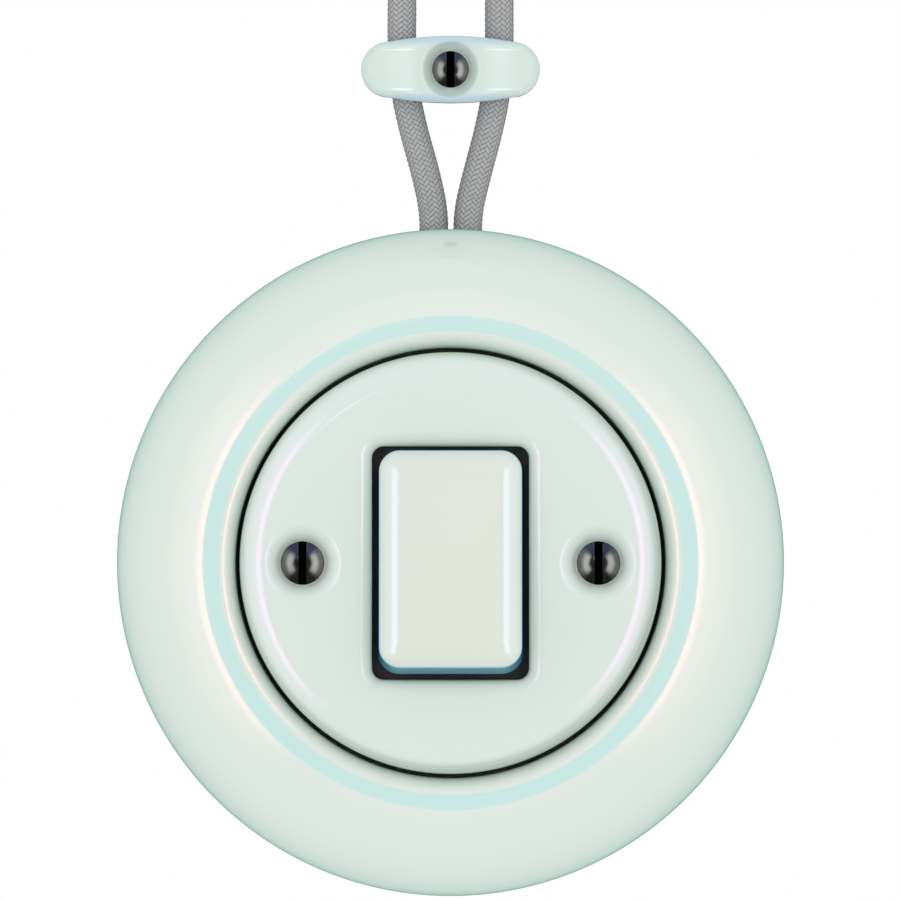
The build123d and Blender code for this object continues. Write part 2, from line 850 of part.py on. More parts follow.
def wire_ends(route, label):
    """Bare copper at both ends of a cable: bent into its terminal, and a stripped tail on top."""
    foot = Vector(route[0])
    down = (foot - Vector(route[1])).normalized()
    knee = foot + down * wire_bend
    entry = Vector(math.copysign(terminal_x, foot.X), -wire_depth, terminal_z)
    deep = Vector(entry.X, entry.Y, foot.Z - wire_bend - wire_in_terminal)
    top = Vector(route[-1])
    up = (top - Vector(route[-2])).normalized()
    tail = Plane(origin=top, z_dir=up) * Circle(wire_radius)
    return [tube([foot, knee, deep], wire_radius, label), extrude(tail, amount=stripped_top)]


def clip_outline():
    """Front view of the clip: two long arcs between two round ends."""
    reach = clip_end_x
    end = clip_end_radius
    outline = make_face([
        ThreePointArc((-reach, end), (0, clip_half_height), (reach, end)),
        ThreePointArc((reach, end), (reach + end, 0), (reach, -end)),
        ThreePointArc((reach, -end), (0, -clip_half_height), (-reach, -end)),
        ThreePointArc((-reach, -end), (-reach - end, 0), (-reach, end)),
    ])
    return fillet(outline.vertices(), clip_kink_round)


def clip_saddle():
    """Porcelain clip: an arched bar with a dished screw seat and a channel for each cable."""
    length = 2 * (clip_end_x + clip_end_radius)
    bar = slab(clip_outline(), 0, clip_depth + overshoot)
    arch = Pos(0, clip_arch_radius - clip_depth, 0) * Cylinder(clip_arch_radius, length)
    bar &= arch
    front = bar.faces().sort_by(Axis.Y)[0]
    bar = fillet(front.edges(), clip_front_round)
    bar -= dish(clip_dish_radius, clip_dish_floor, clip_dish_depth, clip_depth)
    bar -= rod(clip_screw_radius + screw_clearance, 0, clip_depth)
    for x in (-channel_x, channel_x):
        bar -= Pos(x, -channel_centre, 0) * Cylinder(channel_radius, length)
        bar -= Pos(x, -channel_centre / 2, 0) * Box(2 * channel_radius, channel_centre, length)
    return Pos(0, 0, clip_z) * bar


def clip_screw():
    """Slotted screw through the clip and into the wall."""
    seat = clip_depth - clip_dish_depth
    screw = slotted_screw(
        clip_head_radius, clip_head_edge, clip_head_dome,
        clip_screw_radius, seat, -clip_screw_bite, clip_screw_point,
    )
    return Pos(0, 0, clip_z) * screw


def nodes():
    """Every separate piece by name; a list is a group of like pieces."""
    return {
        "ring_body": ring_body(),
        "cover_gasket": cover_gasket(),
        "cover_disc": cover_disc(),
        "cover_screws": cover_screws(),
        "cover_pillars": cover_pillars(),
        "wall_plate": wall_plate(),
        "support_yoke": support_yoke(),
        "yoke_screws": yoke_screws(),
        "mechanism_housing": mechanism_housing(),
        "housing_rivets": housing_rivets(),
        "pivot_frame": pivot_frame(),
        "frame_screws": frame_screws(),
        "pivot_pins": pivot_pins(),
        "button": button(),
        "rocker_cradle": rocker_cradle(),
        "plunger": plunger(),
        "detent_spring": detent_spring(),
        "contact_rocker": contact_rocker(),
        "moving_tips": moving_tips(),
        "contact_post": contact_post(),
        "contact_upper": fixed_contact("upper"),
        "contact_lower": fixed_contact("lower"),
        "fixed_tips": fixed_tips(),
        "terminal_common": terminal_cage("common"),
        "terminal_upper": terminal_cage("upper"),
        "terminal_lower": terminal_cage("lower"),
        "terminal_screws": terminal_screws(),
        "cable_left": tube(left_route, cable_radius, "cable_left"),
        "cable_right": tube(right_route, cable_radius, "cable_right"),
        "wire_ends_left": wire_ends(left_route, "wire_end_left"),
        "wire_ends_right": wire_ends(right_route, "wire_end_right"),
        "clip_saddle": clip_saddle(),
        "clip_screw": clip_screw(),
    }


os.makedirs("parts", exist_ok=True)
for name, shape in nodes().items():
    whole = Compound(shape) if isinstance(shape, list) else shape
    export_step(whole, f"parts/{name}.step")
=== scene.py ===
"""Looks of a surface-mounted porcelain rocker switch, its braided cables and its cable clip.

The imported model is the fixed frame: the wall is the plane Y = 0, the switch looks out along -Y,
+X is right and +Z is up. A "depth" is a distance out of the wall, so a point at depth d has
Y = -d. Sizes are in millimetres in the classes and in metres in the meshes.
"""

import json
import logging
import math
from dataclasses import dataclass
from enum import Enum
from typing import Any

import bmesh
import bpy
import numpy as np
from bpy.types import ID, Material, Mesh, NodeSocket, NodeTree, Object
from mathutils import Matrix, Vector

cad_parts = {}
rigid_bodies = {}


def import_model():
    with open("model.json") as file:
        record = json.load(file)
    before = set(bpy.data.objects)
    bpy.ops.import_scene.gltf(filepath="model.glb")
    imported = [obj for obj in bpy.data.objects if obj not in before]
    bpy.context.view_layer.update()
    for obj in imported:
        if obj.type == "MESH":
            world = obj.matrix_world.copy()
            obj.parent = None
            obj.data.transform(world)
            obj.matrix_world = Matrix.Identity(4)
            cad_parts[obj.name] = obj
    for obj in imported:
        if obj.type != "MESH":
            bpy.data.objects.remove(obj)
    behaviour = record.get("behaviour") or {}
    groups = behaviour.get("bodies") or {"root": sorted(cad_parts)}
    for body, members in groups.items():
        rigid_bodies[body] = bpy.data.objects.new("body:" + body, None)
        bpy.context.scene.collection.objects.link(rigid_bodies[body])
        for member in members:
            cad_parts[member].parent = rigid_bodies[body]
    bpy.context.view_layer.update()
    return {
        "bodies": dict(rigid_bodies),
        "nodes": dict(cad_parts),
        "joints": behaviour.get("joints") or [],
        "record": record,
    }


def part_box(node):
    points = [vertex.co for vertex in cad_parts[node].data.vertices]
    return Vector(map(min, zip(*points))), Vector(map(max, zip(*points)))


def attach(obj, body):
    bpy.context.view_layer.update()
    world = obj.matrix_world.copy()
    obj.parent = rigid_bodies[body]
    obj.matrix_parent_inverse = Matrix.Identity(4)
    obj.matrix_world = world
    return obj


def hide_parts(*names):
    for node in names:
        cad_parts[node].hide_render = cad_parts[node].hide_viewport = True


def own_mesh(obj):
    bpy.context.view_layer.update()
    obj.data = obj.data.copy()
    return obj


MM = 0.001
QUARTER = math.pi / 2
# Points on the round of a hole or a boss.
CIRCLE_POINTS = 48
# Turn in degrees under which an outline's corner is left as it is.
STRAIGHT = 20
log = logging.getLogger("switch")


# Colour and nodes


def linear(colour: str) -> tuple[float, float, float, float]:
    """Turns an sRGB hex colour into a linear one.

    Args:
        colour: Six hex digits after a hash sign.

    Returns:
        Linear red, green and blue, and an alpha of one.
    """
    parts = [int(colour[i : i + 2], 16) / 255 for i in (1, 3, 5)]
    parts = [p / 12.92 if p <= 0.04045 else ((p + 0.055) / 1.055) ** 2.4 for p in parts]
    return (*parts, 1.0)


def add_node(
    tree: NodeTree,
    kind: str,
    inputs: dict[Any, Any],
    output: str | int = 0,
    **settings: Any,
) -> NodeSocket | None:
    """Adds a node to a tree with its settings, values and links.

    Args:
        tree: Node tree of a material, a world or a geometry modifier.
        kind: Blender's name of the node type.
        inputs: Input name or number to a value, or to a socket that feeds it.
        output: Name or number of the wanted output.
        settings: The node's own attributes.

    Returns:
        The wanted output, or nothing where the node has none.
    """
    node = tree.nodes.new(kind)
    for name, value in settings.items():
        setattr(node, name, value)
    for name, value in inputs.items():
        if isinstance(value, NodeSocket):
            tree.links.new(value, node.inputs[name])
        else:
            node.inputs[name].default_value = value
    return node.outputs[output] if node.outputs else None


def blank_material(name: str) -> tuple[Material, NodeTree, NodeSocket]:
    """Makes a material whose tree has only the object's coordinates.

    Args:
        name: Name of the finish.

    Returns:
        The material, its tree and the coordinates, in metres.
    """
    material = bpy.data.materials.new(name)
    material.use_nodes = True
    tree = material.node_tree
    tree.nodes.clear()
    return material, tree, add_node(tree, "ShaderNodeTexCoord", {}, "Object")


def close_material(tree: NodeTree, inputs: dict[str, Any]) -> None:
    """Ends a material's tree with its shader, fed by these inputs, and its output."""
    shader = add_node(tree, "ShaderNodeBsdfPrincipled", inputs)
    add_node(tree, "ShaderNodeOutputMaterial", {"Surface": shader})


def tinted_film(tint: tuple[float, float, float], roughness: float) -> dict[str, Any]:
    """Shader inputs of a clear film that takes up more light the more aslant it is seen."""
    film = {"Coat Weight": 1.0, "Coat IOR": 1.0, "Coat Roughness": roughness}
    return {**film, "Coat Tint": (*tint, 1.0)}


# Finishes

# Stop distances, in millimetres, of a tone that runs on past its piece.
ENDLESS = (999.0, 998.0)


class PaintedLight(Enum):
    """Where a glaze piece carries a painted tone: painted reflection on the ring's crest and along
    the clip's edges, painted shade round the cover's rim.

    Each has the axes over which the distance from the piece's centre is taken, then the distances
    in millimetres between which the tone sets in, and between which it stops.
    """

    NOWHERE = ((1, 0, 1), (900.0, 901.0), ENDLESS)
    # Painted reflection: a cool cyan band round the ring's crest.
    CREST_REFLECTION = ((1, 0, 1), (34.45, 34.8), (37.1, 36.75))
    # Painted reflection: pale blue bands along the clip's top and bottom edges.
    CLIP_EDGE_REFLECTION = ((0, 0, 1), (3.2, 4.4), ENDLESS)
    # Painted shade: a grey darkening round the cover's edge.
    RIM_SHADE = ((1, 0, 1), (29.8, 31.6), ENDLESS)


@dataclass(frozen=True)
class Glaze:
    """Slip-cast porcelain under a clear, faintly green glaze, fired glossy.

    The white body shows through tinted glass. Seen square on, it is pale mint. Seen aslant, the
    light goes through more of the glass, and the mint deepens towards every outline. Lamps show
    as clean streaks with slightly wavy edges and a pearly tint.
    """

    name: str
    body: str
    # Colour of the painted tone: a painted reflection on some pieces, painted shade on others.
    painted_tone: str
    where: PaintedLight
    glass: tuple[float, float, float]
    pearl: tuple[float, float, float]
    centre: tuple[float, float, float] = (0.0, 0.0, 0.0)
    # Band of painted highlight lines, as distances from the centre in mm: the gloss tint turns
    # white there.
    painted_glint: tuple[float, float] | None = None
    roughness: float = 0.1
    ripple_mm: float = 9.0
    ripple_height_mm: float = 0.05
    peel_mm: float = 0.9
    peel_height_mm: float = 0.0009
    cloud_mm: float = 26.0
    streaks_per_mm: float = 5.0
    streak_scale: tuple[int, int, int] = (1, 35, 35)

    def band(self, tree: NodeTree, value: NodeSocket, edges: tuple[Any, Any]) -> NodeSocket:
        """Makes a soft-edged mask of the places where a value lies within a band.

        Args:
            tree: The material's tree.
            value: Socket with the value, in metres.
            edges: Where the band sets in and where it stops, in millimetres.

        Returns:
            Socket from 0 to 1.
        """
        steps = {}
        for i, (first, last) in enumerate(edges):
            span = {"Value": value, "From Min": first * MM, "From Max": last * MM}
            steps[i] = add_node(tree, "ShaderNodeMapRange", span, interpolation_type="SMOOTHSTEP")
        return add_node(tree, "ShaderNodeMath", steps, operation="MULTIPLY")

    def masks(self, tree: NodeTree, place: NodeSocket) -> tuple[NodeSocket, Any]:
        """Makes the masks of the painted tone and of the painted highlight lines.

        Args:
            tree: The material's tree.
            place: Object coordinates.

        Returns:
            The tone's socket from 0 to 1, and the lines' socket or zero.
        """
        axes, *edges = self.where.value
        offset = tuple(-a * v * MM for a, v in zip(axes, self.centre))
        vector, spread = "ShaderNodeVectorMath", "MULTIPLY_ADD"
        flat = add_node(tree, vector, {0: place, 1: axes, 2: offset}, operation=spread)
        distance = add_node(tree, vector, {0: flat}, "Value", operation="LENGTH")
        # Streaks 0.2 mm wide that follow the painted tone's edge for some 30 mm and thin it.
        rate = (self.streaks_per_mm / MM, 0, 0)
        streaked = add_node(tree, vector, {0: distance, 1: rate, 2: place}, operation=spread)
        run = add_node(tree, vector, {0: streaked, 1: self.streak_scale}, operation="MULTIPLY")
        streaks = add_node(tree, "ShaderNodeTexNoise", {"Vector": run, "Scale": 1.0, "Detail": 2.0})
        thinning = {"Value": streaks, "From Min": 0.3, "From Max": 0.55, "To Min": 0.6}
        thin = add_node(tree, "ShaderNodeMapRange", thinning)
        shares = {0: self.band(tree, distance, edges), 1: thin}
        tone = add_node(tree, "ShaderNodeMath", shares, operation="MULTIPLY")
        if self.painted_glint is None:
            return tone, 0.0
        near, far = self.painted_glint
        soft = (far - near) / 3
        return tone, self.band(tree, distance, ((near, near + soft), (far, far - soft)))

    def material(self) -> Material:
        """Builds the glaze's material."""
        material, tree, place = blank_material(self.name)
        cloud, ripple, peel = (
            add_node(
                tree,
                "ShaderNodeTexNoise",
                {"Vector": place, "Scale": 1 / (size * MM), "Detail": detail},
            )
            for size, detail in ((self.cloud_mm, 3.0), (self.ripple_mm, 1.0), (self.peel_mm, 2.0))
        )
        clouding = {"Value": cloud, "From Min": 0.3, "From Max": 0.7, "To Min": 0.985}
        tone = add_node(tree, "ShaderNodeMapRange", clouding)
        second, painted_glint_lines = self.masks(tree, place)
        # Painted light: the body colour gives way to the painted tone where its mask lies.
        tones = {"Factor": second, "A": linear(self.body), "B": linear(self.painted_tone)}
        # Painted highlight: the gloss tint turns white along the glint lines.
        tints = {"Factor": painted_glint_lines, "A": (*self.pearl, 1.0), "B": (1.0, 1.0, 1.0, 1.0)}
        colour, sheen = (
            add_node(tree, "ShaderNodeMix", blend, "Result", data_type="RGBA")
            for blend in (tones, tints)
        )
        shaded = {0: colour, "Scale": tone}
        toned = add_node(tree, "ShaderNodeVectorMath", shaded, operation="SCALE")
        span = {"To Min": self.roughness * 0.75, "To Max": self.roughness * 1.3}
        gloss = add_node(tree, "ShaderNodeMapRange", {"Value": cloud, **span})
        skin = None
        for height, relief in ((ripple, self.ripple_height_mm), (peel, self.peel_height_mm)):
            wave = {"Strength": 1.0, "Distance": relief * MM, "Height": height}
            skin = add_node(tree, "ShaderNodeBump", {**wave, "Normal": skin} if skin else wave)
        surface = {"Base Color": toned, "Roughness": gloss, "Specular Tint": sheen, "IOR": 1.5}
        film = tinted_film(self.glass, self.roughness)
        close_material(tree, {**surface, **film, "Normal": skin})
        return material


def worked_material(
    tree: NodeTree,
    tones: tuple[Any, Any, NodeSocket],
    rough: tuple[float, float, NodeSocket],
    relief: tuple[float, float, NodeSocket],
    rest: dict[str, Any],
) -> None:
    """Ends the tree of a plain material whose patterns steer its colour, roughness and relief.

    Args:
        tree: The material's tree.
        tones: Two colours and the pattern that mixes them.
        rough: Least and greatest roughness and the pattern between them.
        relief: Strength of the relief, its height in millimetres and its pattern.
        rest: The shader's other values.
    """
    first, second, mix = tones
    low, high, spots = rough
    strength, height, pattern = relief
    blend = {"Factor": mix, "A": first, "B": second}
    span = {"Value": spots, "To Min": low, "To Max": high}
    lift = {"Strength": strength, "Distance": height * MM, "Height": pattern}
    colour = add_node(tree, "ShaderNodeMix", blend, "Result", data_type="RGBA")
    roughness = add_node(tree, "ShaderNodeMapRange", span)
    normal = add_node(tree, "ShaderNodeBump", lift)
    surface = {"Base Color": colour, "Roughness": roughness, "Normal": normal}
    close_material(tree, {**surface, **rest})


class Grain(Enum):
    """How a metal's surface was worked: size of its marks in millimetres along X, Y and Z."""

    TURNED = (0.35, 0.12, 0.35)
    ROLLED = (0.25, 0.25, 6.0)
    DRAWN = (0.2, 0.2, 3.0)
    TUMBLED = (0.5, 0.5, 0.5)


@dataclass(frozen=True)
class Metal:
    """Bare or plated metal with the marks of how it was worked, under a thin uneven tarnish.

    Faces that carry the attribute "sawn" take a near-black painted shade, the shade inside a
    screw's slot.
    """

    name: str
    bright: str
    dull: str
    grain: Grain
    roughness: float
    mark_mm: float = 0.004
    patch_mm: float = 2.5
    # Near-black painted shade for the faces of a screw's slot.
    slot_shade: str = "#070808"

    def material(self) -> Material:
        """Builds the metal's material."""
        material, tree, place = blank_material(self.name)
        scale = tuple(1 / (size * MM) for size in self.grain.value)
        along = add_node(tree, "ShaderNodeVectorMath", {0: place, 1: scale}, operation="MULTIPLY")
        marks, patches = (
            add_node(tree, "ShaderNodeTexNoise", {"Vector": way, "Scale": rate, "Detail": detail})
            for way, rate, detail in ((along, 1.0, 3.0), (place, 1 / (self.patch_mm * MM), 4.0))
        )
        tarnish = {"Factor": patches, "A": linear(self.dull), "B": linear(self.bright)}
        worn = add_node(tree, "ShaderNodeMix", tarnish, "Result", data_type="RGBA")
        # Painted shade: the sawn faces of a screw's slot take the near-black slot colour.
        sawn = add_node(tree, "ShaderNodeAttribute", {}, "Fac", attribute_name="sawn")
        worked_material(
            tree,
            (worn, linear(self.slot_shade), sawn),
            (self.roughness * 0.6, self.roughness * 1.5, marks),
            (1.0, self.mark_mm, marks),
            {"Metallic": 1.0},
        )
        return material


@dataclass(frozen=True)
class Moulding:
    """Compression-moulded thermoset or rubber: dark, with a fine matt skin and faint flow marks."""

    name: str
    colour: str
    flow: str
    roughness: float
    flow_mm: float = 7.0
    skin_mm: float = 0.3
    skin_height_mm: float = 0.008

    def material(self) -> Material:
        """Builds the moulding's material."""
        material, tree, place = blank_material(self.name)
        flow, skin = (
            add_node(
                tree,
                "ShaderNodeTexNoise",
                {"Vector": place, "Scale": 1 / (size * MM), "Detail": detail, "Distortion": bend},
            )
            for size, detail, bend in ((self.flow_mm, 5.0, 1.5), (self.skin_mm, 2.0, 0.0))
        )
        worked_material(
            tree,
            (linear(self.colour), linear(self.flow), flow),
            (self.roughness * 0.8, self.roughness * 1.2, flow),
            (1.0, self.skin_height_mm, skin),
            {"IOR": 1.55},
        )
        return material


@dataclass(frozen=True)
class Braid:
    """Cotton braid over insulation, dyed grey, with painted light: lit yarn backs and painted shade
    in the seams between the yarns.

    The piece's own attributes carry the weave: relief is the height of the yarns from 0 to 1,
    and its UV map runs along the yarns, so that the fibres follow them.
    """

    name: str
    yarn: str
    seam_shade: str
    fibre_mm: float = 0.05
    tuft_mm: float = 0.6
    roughness: float = 0.85
    # Tint of a film that darkens the braid the more aslant it is seen: painted shade on the cable's
    # sides.
    depth: tuple[float, float, float] = (0.8, 0.8, 0.8)

    def material(self) -> Material:
        """Builds the braid's material."""
        material, tree, place = blank_material(self.name)
        relief = add_node(tree, "ShaderNodeAttribute", {}, "Fac", attribute_name="relief")
        yarns = add_node(tree, "ShaderNodeUVMap", {}, uv_map="yarns")
        fibres, tufts = (
            add_node(tree, "ShaderNodeTexNoise", {"Vector": way, "Scale": rate, "Detail": detail})
            for way, rate, detail in ((yarns, 1.0, 2.0), (place, 1 / (self.tuft_mm * MM), 3.0))
        )
        # Painted shade: the seams between the yarns take the darker colour, set by the yarns'
        # height.
        backs = {"Value": relief, "From Min": 0.25, "From Max": 0.75}
        lit = add_node(tree, "ShaderNodeMapRange", backs, interpolation_type="SMOOTHSTEP")
        blend = {"Factor": lit, "A": linear(self.seam_shade), "B": linear(self.yarn)}
        colour = add_node(tree, "ShaderNodeMix", blend, "Result", data_type="RGBA")
        shading = {"Value": tufts, "From Min": 0.3, "From Max": 0.7, "To Min": 0.88}
        shade = add_node(tree, "ShaderNodeMapRange", shading)
        shaded = {0: colour, "Scale": shade}
        toned = add_node(tree, "ShaderNodeVectorMath", shaded, operation="SCALE")
        lift = {"Strength": 0.8, "Distance": self.fibre_mm * MM, "Height": fibres}
        normal = add_node(tree, "ShaderNodeBump", lift)
        surface = {"Base Color": toned, "Roughness": self.roughness, "IOR": 1.45, "Normal": normal}
        # The tinted film paints shade on the cable's sides.
        close_material(tree, {**surface, **tinted_film(self.depth, 1.0)})
        return material


class Finishes:
    """Every finish of the switch, built once."""

    def __init__(self) -> None:
        """Builds the materials."""
        low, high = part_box("clip_saddle")
        clip_z = (low.z + high.z) / 2 / MM
        # The ring's cyan second colour is a painted reflection round its crest.
        self.ring = Glaze(
            "glazed_porcelain_ring", "#E9F1EA", "#CFEFEC", PaintedLight.CREST_REFLECTION,
            glass=(0.940, 0.972, 0.965), pearl=(1.0, 0.32, 0.27),
        ).material()
        # The cover's grey second colour is painted shade round its edge; its centre sits up and to
        # the left, so the shade is wider at the lower right.
        self.cover = Glaze(
            "glazed_porcelain_cover", "#E3EEE6", "#B4C3B7", PaintedLight.RIM_SHADE,
            glass=(0.940, 0.962, 0.952), pearl=(0.75, 0.15, 0.75), centre=(-0.35, 0.0, 0.35),
        ).material()
        self.button = Glaze(
            "glazed_porcelain_button", "#FEF5E0", "#FEF5E0", PaintedLight.NOWHERE,
            glass=(0.770, 0.885, 0.945), pearl=(0.50, 0.50, 1.0),
        ).material()
        # The clip's pale blue second colour is a painted reflection along its top and bottom edges.
        self.clip = Glaze(
            "glazed_porcelain_clip", "#DDE9E1", "#C9DCE8", PaintedLight.CLIP_EDGE_REFLECTION,
            glass=(0.934, 0.960, 0.960), pearl=(0.2, 0.2, 0.25), centre=(0.0, 0.0, clip_z),
            painted_glint=(2.85, 3.1),
        ).material()
        turned, rolled, drawn = Grain.TURNED, Grain.ROLLED, Grain.DRAWN
        self.black_steel, self.zinc, self.spring, self.brass, self.silver, self.copper = (
            Metal(*row).material()
            for row in (
                ("blackened_steel", "#494A48", "#2E2F2D", turned, 0.12),
                ("zinc_plated_steel", "#C9CCCB", "#A9ADAE", rolled, 0.3),
                ("drawn_spring_steel", "#B9BABB", "#8C8D8F", drawn, 0.22),
                ("rolled_brass", "#E0BE73", "#C19A52", rolled, 0.26),
                ("contact_silver", "#EDEBE4", "#D5D2C8", Grain.TUMBLED, 0.2),
                ("drawn_copper", "#E5A077", "#B8714C", drawn, 0.25),
            )
        )
        self.resin = Moulding("moulded_black_resin", "#161616", "#1F1E1D", 0.38).material()
        # The gasket at the foot of the gap round the cover is a real part; its near-black finish
        # also stands in for the gap's shade.
        self.gasket_and_gap_shade = Moulding("gasket_rubber_and_gap_shade", "#0C0C0C", "#141414", 0.6).material()
        self.rubber = Moulding("cable_insulation", "#8E9190", "#A5A7A6", 0.55).material()
        self.braid = Braid("grey_cotton_braid", "#CBCBCB", "#7C7D7E").material()


# Shapes


def arc(
    centre: tuple[float, float], radii: tuple[float, float], start: float, end: float, count: int
) -> np.ndarray:
    """Points along an arc of a circle or an ellipse, from a start to an end angle in degrees."""
    angle = np.radians(np.linspace(start, end, count))
    return np.array(centre) + np.stack([np.cos(angle), np.sin(angle)], axis=1) * np.array(radii)


def circle(radius: float) -> np.ndarray:
    """Closed outline of a circle about the origin."""
    return arc((0, 0), (radius, radius), 0, 360, CIRCLE_POINTS + 1)[:-1]


def softened(outline: np.ndarray, radius: float, steps: int = 4) -> np.ndarray:
    """Rounds the corners of a closed outline, as glaze and wear do.

    Args:
        outline: Corner points, one a row.
        radius: How far from a corner its round begins.
        steps: Number of faces in a round.

    Returns:
        The outline with its corners rounded.
    """
    points = []
    for before, here, after in zip(np.roll(outline, 1, 0), outline, np.roll(outline, -1, 0)):
        into, out = here - before, after - here
        a, b = np.linalg.norm(into), np.linalg.norm(out)
        if np.dot(into, out) > math.cos(math.radians(STRAIGHT)) * a * b:
            points.append(here)
            continue
        reach = min(radius, 0.45 * a, 0.45 * b)
        first, last = here - into / a * reach, here + out / b * reach
        for t in np.linspace(0, 1, steps + 1):
            points.append((1 - t) ** 2 * first + 2 * t * (1 - t) * here + t * t * last)
    return np.array(points)


def rounded_rectangle(
    half_width: float, half_height: float, corner: float, counts: tuple[int, int, int]
) -> np.ndarray:
    """Closed outline of a rectangle with round corners, always with the same number of points.

    Args:
        half_width: Half the width.
        half_height: Half the height.
        corner: Radius of the corners.
        counts: Points on each level side, each upright side and each corner.

    Returns:
        The points, one a row.
    """
    x, z = half_width - corner, half_height - corner
    level, upright, round_ = counts
    sides = []
    for quarter, (cx, cz) in enumerate(((x, z), (-x, z), (-x, -z), (x, -z))):
        sides.append(arc((cx, cz), (corner, corner), 90 * quarter, 90 * quarter + 90, round_))
        here = sides[-1][-1]
        nxt = ((-x, half_height), (-half_width, -z), (x, -half_height), (half_width, z))[quarter]
        steps = np.linspace(0, 1, (level, upright)[quarter % 2] + 2)[1:-1, None]
        sides.append(here * (1 - steps) + np.array(nxt) * steps)
    return np.concatenate(sides)


def soft_min(a: np.ndarray, b: np.ndarray, blend: float) -> np.ndarray:
    """Smaller of two heights, with a soft change where they differ by less than the blend."""
    share = np.clip(0.5 + 0.5 * (b - a) / blend, 0, 1)
    return b * (1 - share) + a * share - blend * share * (1 - share)


def placed(outline: np.ndarray, depth: np.ndarray | float) -> np.ndarray:
    """Stands a flat outline of X and Z off the wall, at one depth or one for each point."""
    y = -np.broadcast_to(depth, outline.shape[:1])
    return np.stack([outline[:, 0], y, outline[:, 1]], axis=1)


def new_piece(name: str, data: ID) -> Object:
    """Puts a mesh, a curve, a lens or a lamp into the scene.

    Args:
        name: Name of the piece.
        data: What it shows, in metres.

    Returns:
        The piece.
    """
    piece = bpy.data.objects.new(name, data)
    bpy.context.scene.collection.objects.link(piece)
    return piece


def loft(name: str, loops: list[np.ndarray], ring: bool) -> Object:
    """Skins a row of closed loops.

    Args:
        name: Name of the piece.
        loops: Loops with the same number of points, in millimetres.
        ring: Whether the last loop joins the first; otherwise both ends close on a pole.

    Returns:
        The piece.
    """
    rows, count = len(loops), len(loops[0])
    points = np.concatenate(loops) * MM
    index = np.arange(rows * count).reshape(rows, count)
    upper = np.roll(index, -1, 0) if ring else index[1:]
    lower = index if ring else index[:-1]
    quads = np.stack([lower, np.roll(lower, -1, 1), np.roll(upper, -1, 1), upper], axis=-1)
    faces = quads.reshape(-1, 4).tolist()
    if not ring:
        poles = [points[index[0]].mean(0), points[index[-1]].mean(0)]
        points = np.concatenate([points, poles])
        first, last = rows * count, rows * count + 1
        faces += [[first, b, a] for a, b in zip(index[0], np.roll(index[0], -1))]
        faces += [[last, a, b] for a, b in zip(index[-1], np.roll(index[-1], -1))]
    mesh = bpy.data.meshes.new(name)
    mesh.from_pydata(points.tolist(), [], faces)
    return new_piece(name, mesh)


def smoothed(piece: Object, crease: float = 32.0) -> Object:
    """Turns a mesh's faces outwards and shades it smooth, apart from its creases.

    Args:
        piece: A closed mesh.
        crease: Angle past which an edge is a crease, in degrees.

    Returns:
        The piece.
    """
    work = bmesh.new()
    work.from_mesh(piece.data)
    bmesh.ops.remove_doubles(work, verts=work.verts, dist=0.0002 * MM)
    bmesh.ops.recalc_face_normals(work, faces=work.faces)
    work.to_mesh(piece.data)
    work.free()
    piece.data.shade_smooth()
    piece.data.set_sharp_from_angle(angle=math.radians(crease))
    return piece


def evaluated(piece: Object) -> Mesh:
    """Mesh of a piece with its modifiers applied."""
    graph = bpy.context.evaluated_depsgraph_get()
    return bpy.data.meshes.new_from_object(piece.evaluated_get(graph))


def coat(mesh: Mesh, material: Material) -> None:
    """Gives a mesh one material in place of any that it has."""
    mesh.materials.clear()
    mesh.materials.append(material)


def carved(piece: Object, cutter: Object, operation: str) -> None:
    """Cuts a mesh with another, or joins it, and removes the other.

    Args:
        piece: The mesh that is changed.
        cutter: The other mesh.
        operation: DIFFERENCE or UNION.
    """
    modifier = piece.modifiers.new("carve", "BOOLEAN")
    modifier.operation = operation
    modifier.solver = "EXACT"
    modifier.object = cutter
    mesh = evaluated(piece)
    piece.modifiers.remove(modifier)
    piece.data = mesh
    bpy.data.objects.remove(cutter)


def bars(
    name: str, section: np.ndarray, places: list[tuple[float, float]], back: float, front: float
) -> Object:
    """Straight bars of one section, square to the wall.

    Args:
        name: Name of the mesh.
        section: Closed outline of X and Z.
        places: Centre of each bar.
        back: Depth of the rear end.
        front: Depth of the front end.

    Returns:
        One piece with every bar.
    """
    work = bmesh.new()
    for x, z in places:
        corners = [(x + px, z + pz) for px, pz in section]
        rear = [work.verts.new((px * MM, -back * MM, pz * MM)) for px, pz in corners]
        fore = [work.verts.new((px * MM, -front * MM, pz * MM)) for px, pz in corners]
        work.faces.new(rear)
        work.faces.new(fore[::-1])
        for i in range(len(corners)):
            j = (i + 1) % len(corners)
            work.faces.new((rear[j], rear[i], fore[i], fore[j]))
    bmesh.ops.recalc_face_normals(work, faces=work.faces)
    mesh = bpy.data.meshes.new(name)
    work.to_mesh(mesh)
    work.free()
    return new_piece(name, mesh)


# Geometry node trees


def geometry_tree(
    name: str, floats: tuple[str, ...], counts: tuple[str, ...], vectors: tuple[str, ...]
) -> tuple[NodeTree, Any]:
    """Makes a geometry tree with named inputs: a first shape, its sizes and its material.

    Args:
        name: Name of the tree.
        floats: Names of the inputs that hold one measure.
        counts: Names of the inputs that hold a whole number.
        vectors: Names of the inputs that hold a place or a direction.

    Returns:
        The tree and its input sockets.
    """
    tree = bpy.data.node_groups.new(name, "GeometryNodeTree")
    kinds = {"Geometry": ("Shape",), "Float": floats, "Int": counts, "Vector": vectors}
    for kind, sockets in {**kinds, "Material": ("Material",)}.items():
        for socket in sockets:
            tree.interface.new_socket(socket, in_out="INPUT", socket_type="NodeSocket" + kind)
    tree.interface.new_socket("Shape", in_out="OUTPUT", socket_type="NodeSocketGeometry")
    return tree, add_node(tree, "NodeGroupInput", {}).node.outputs


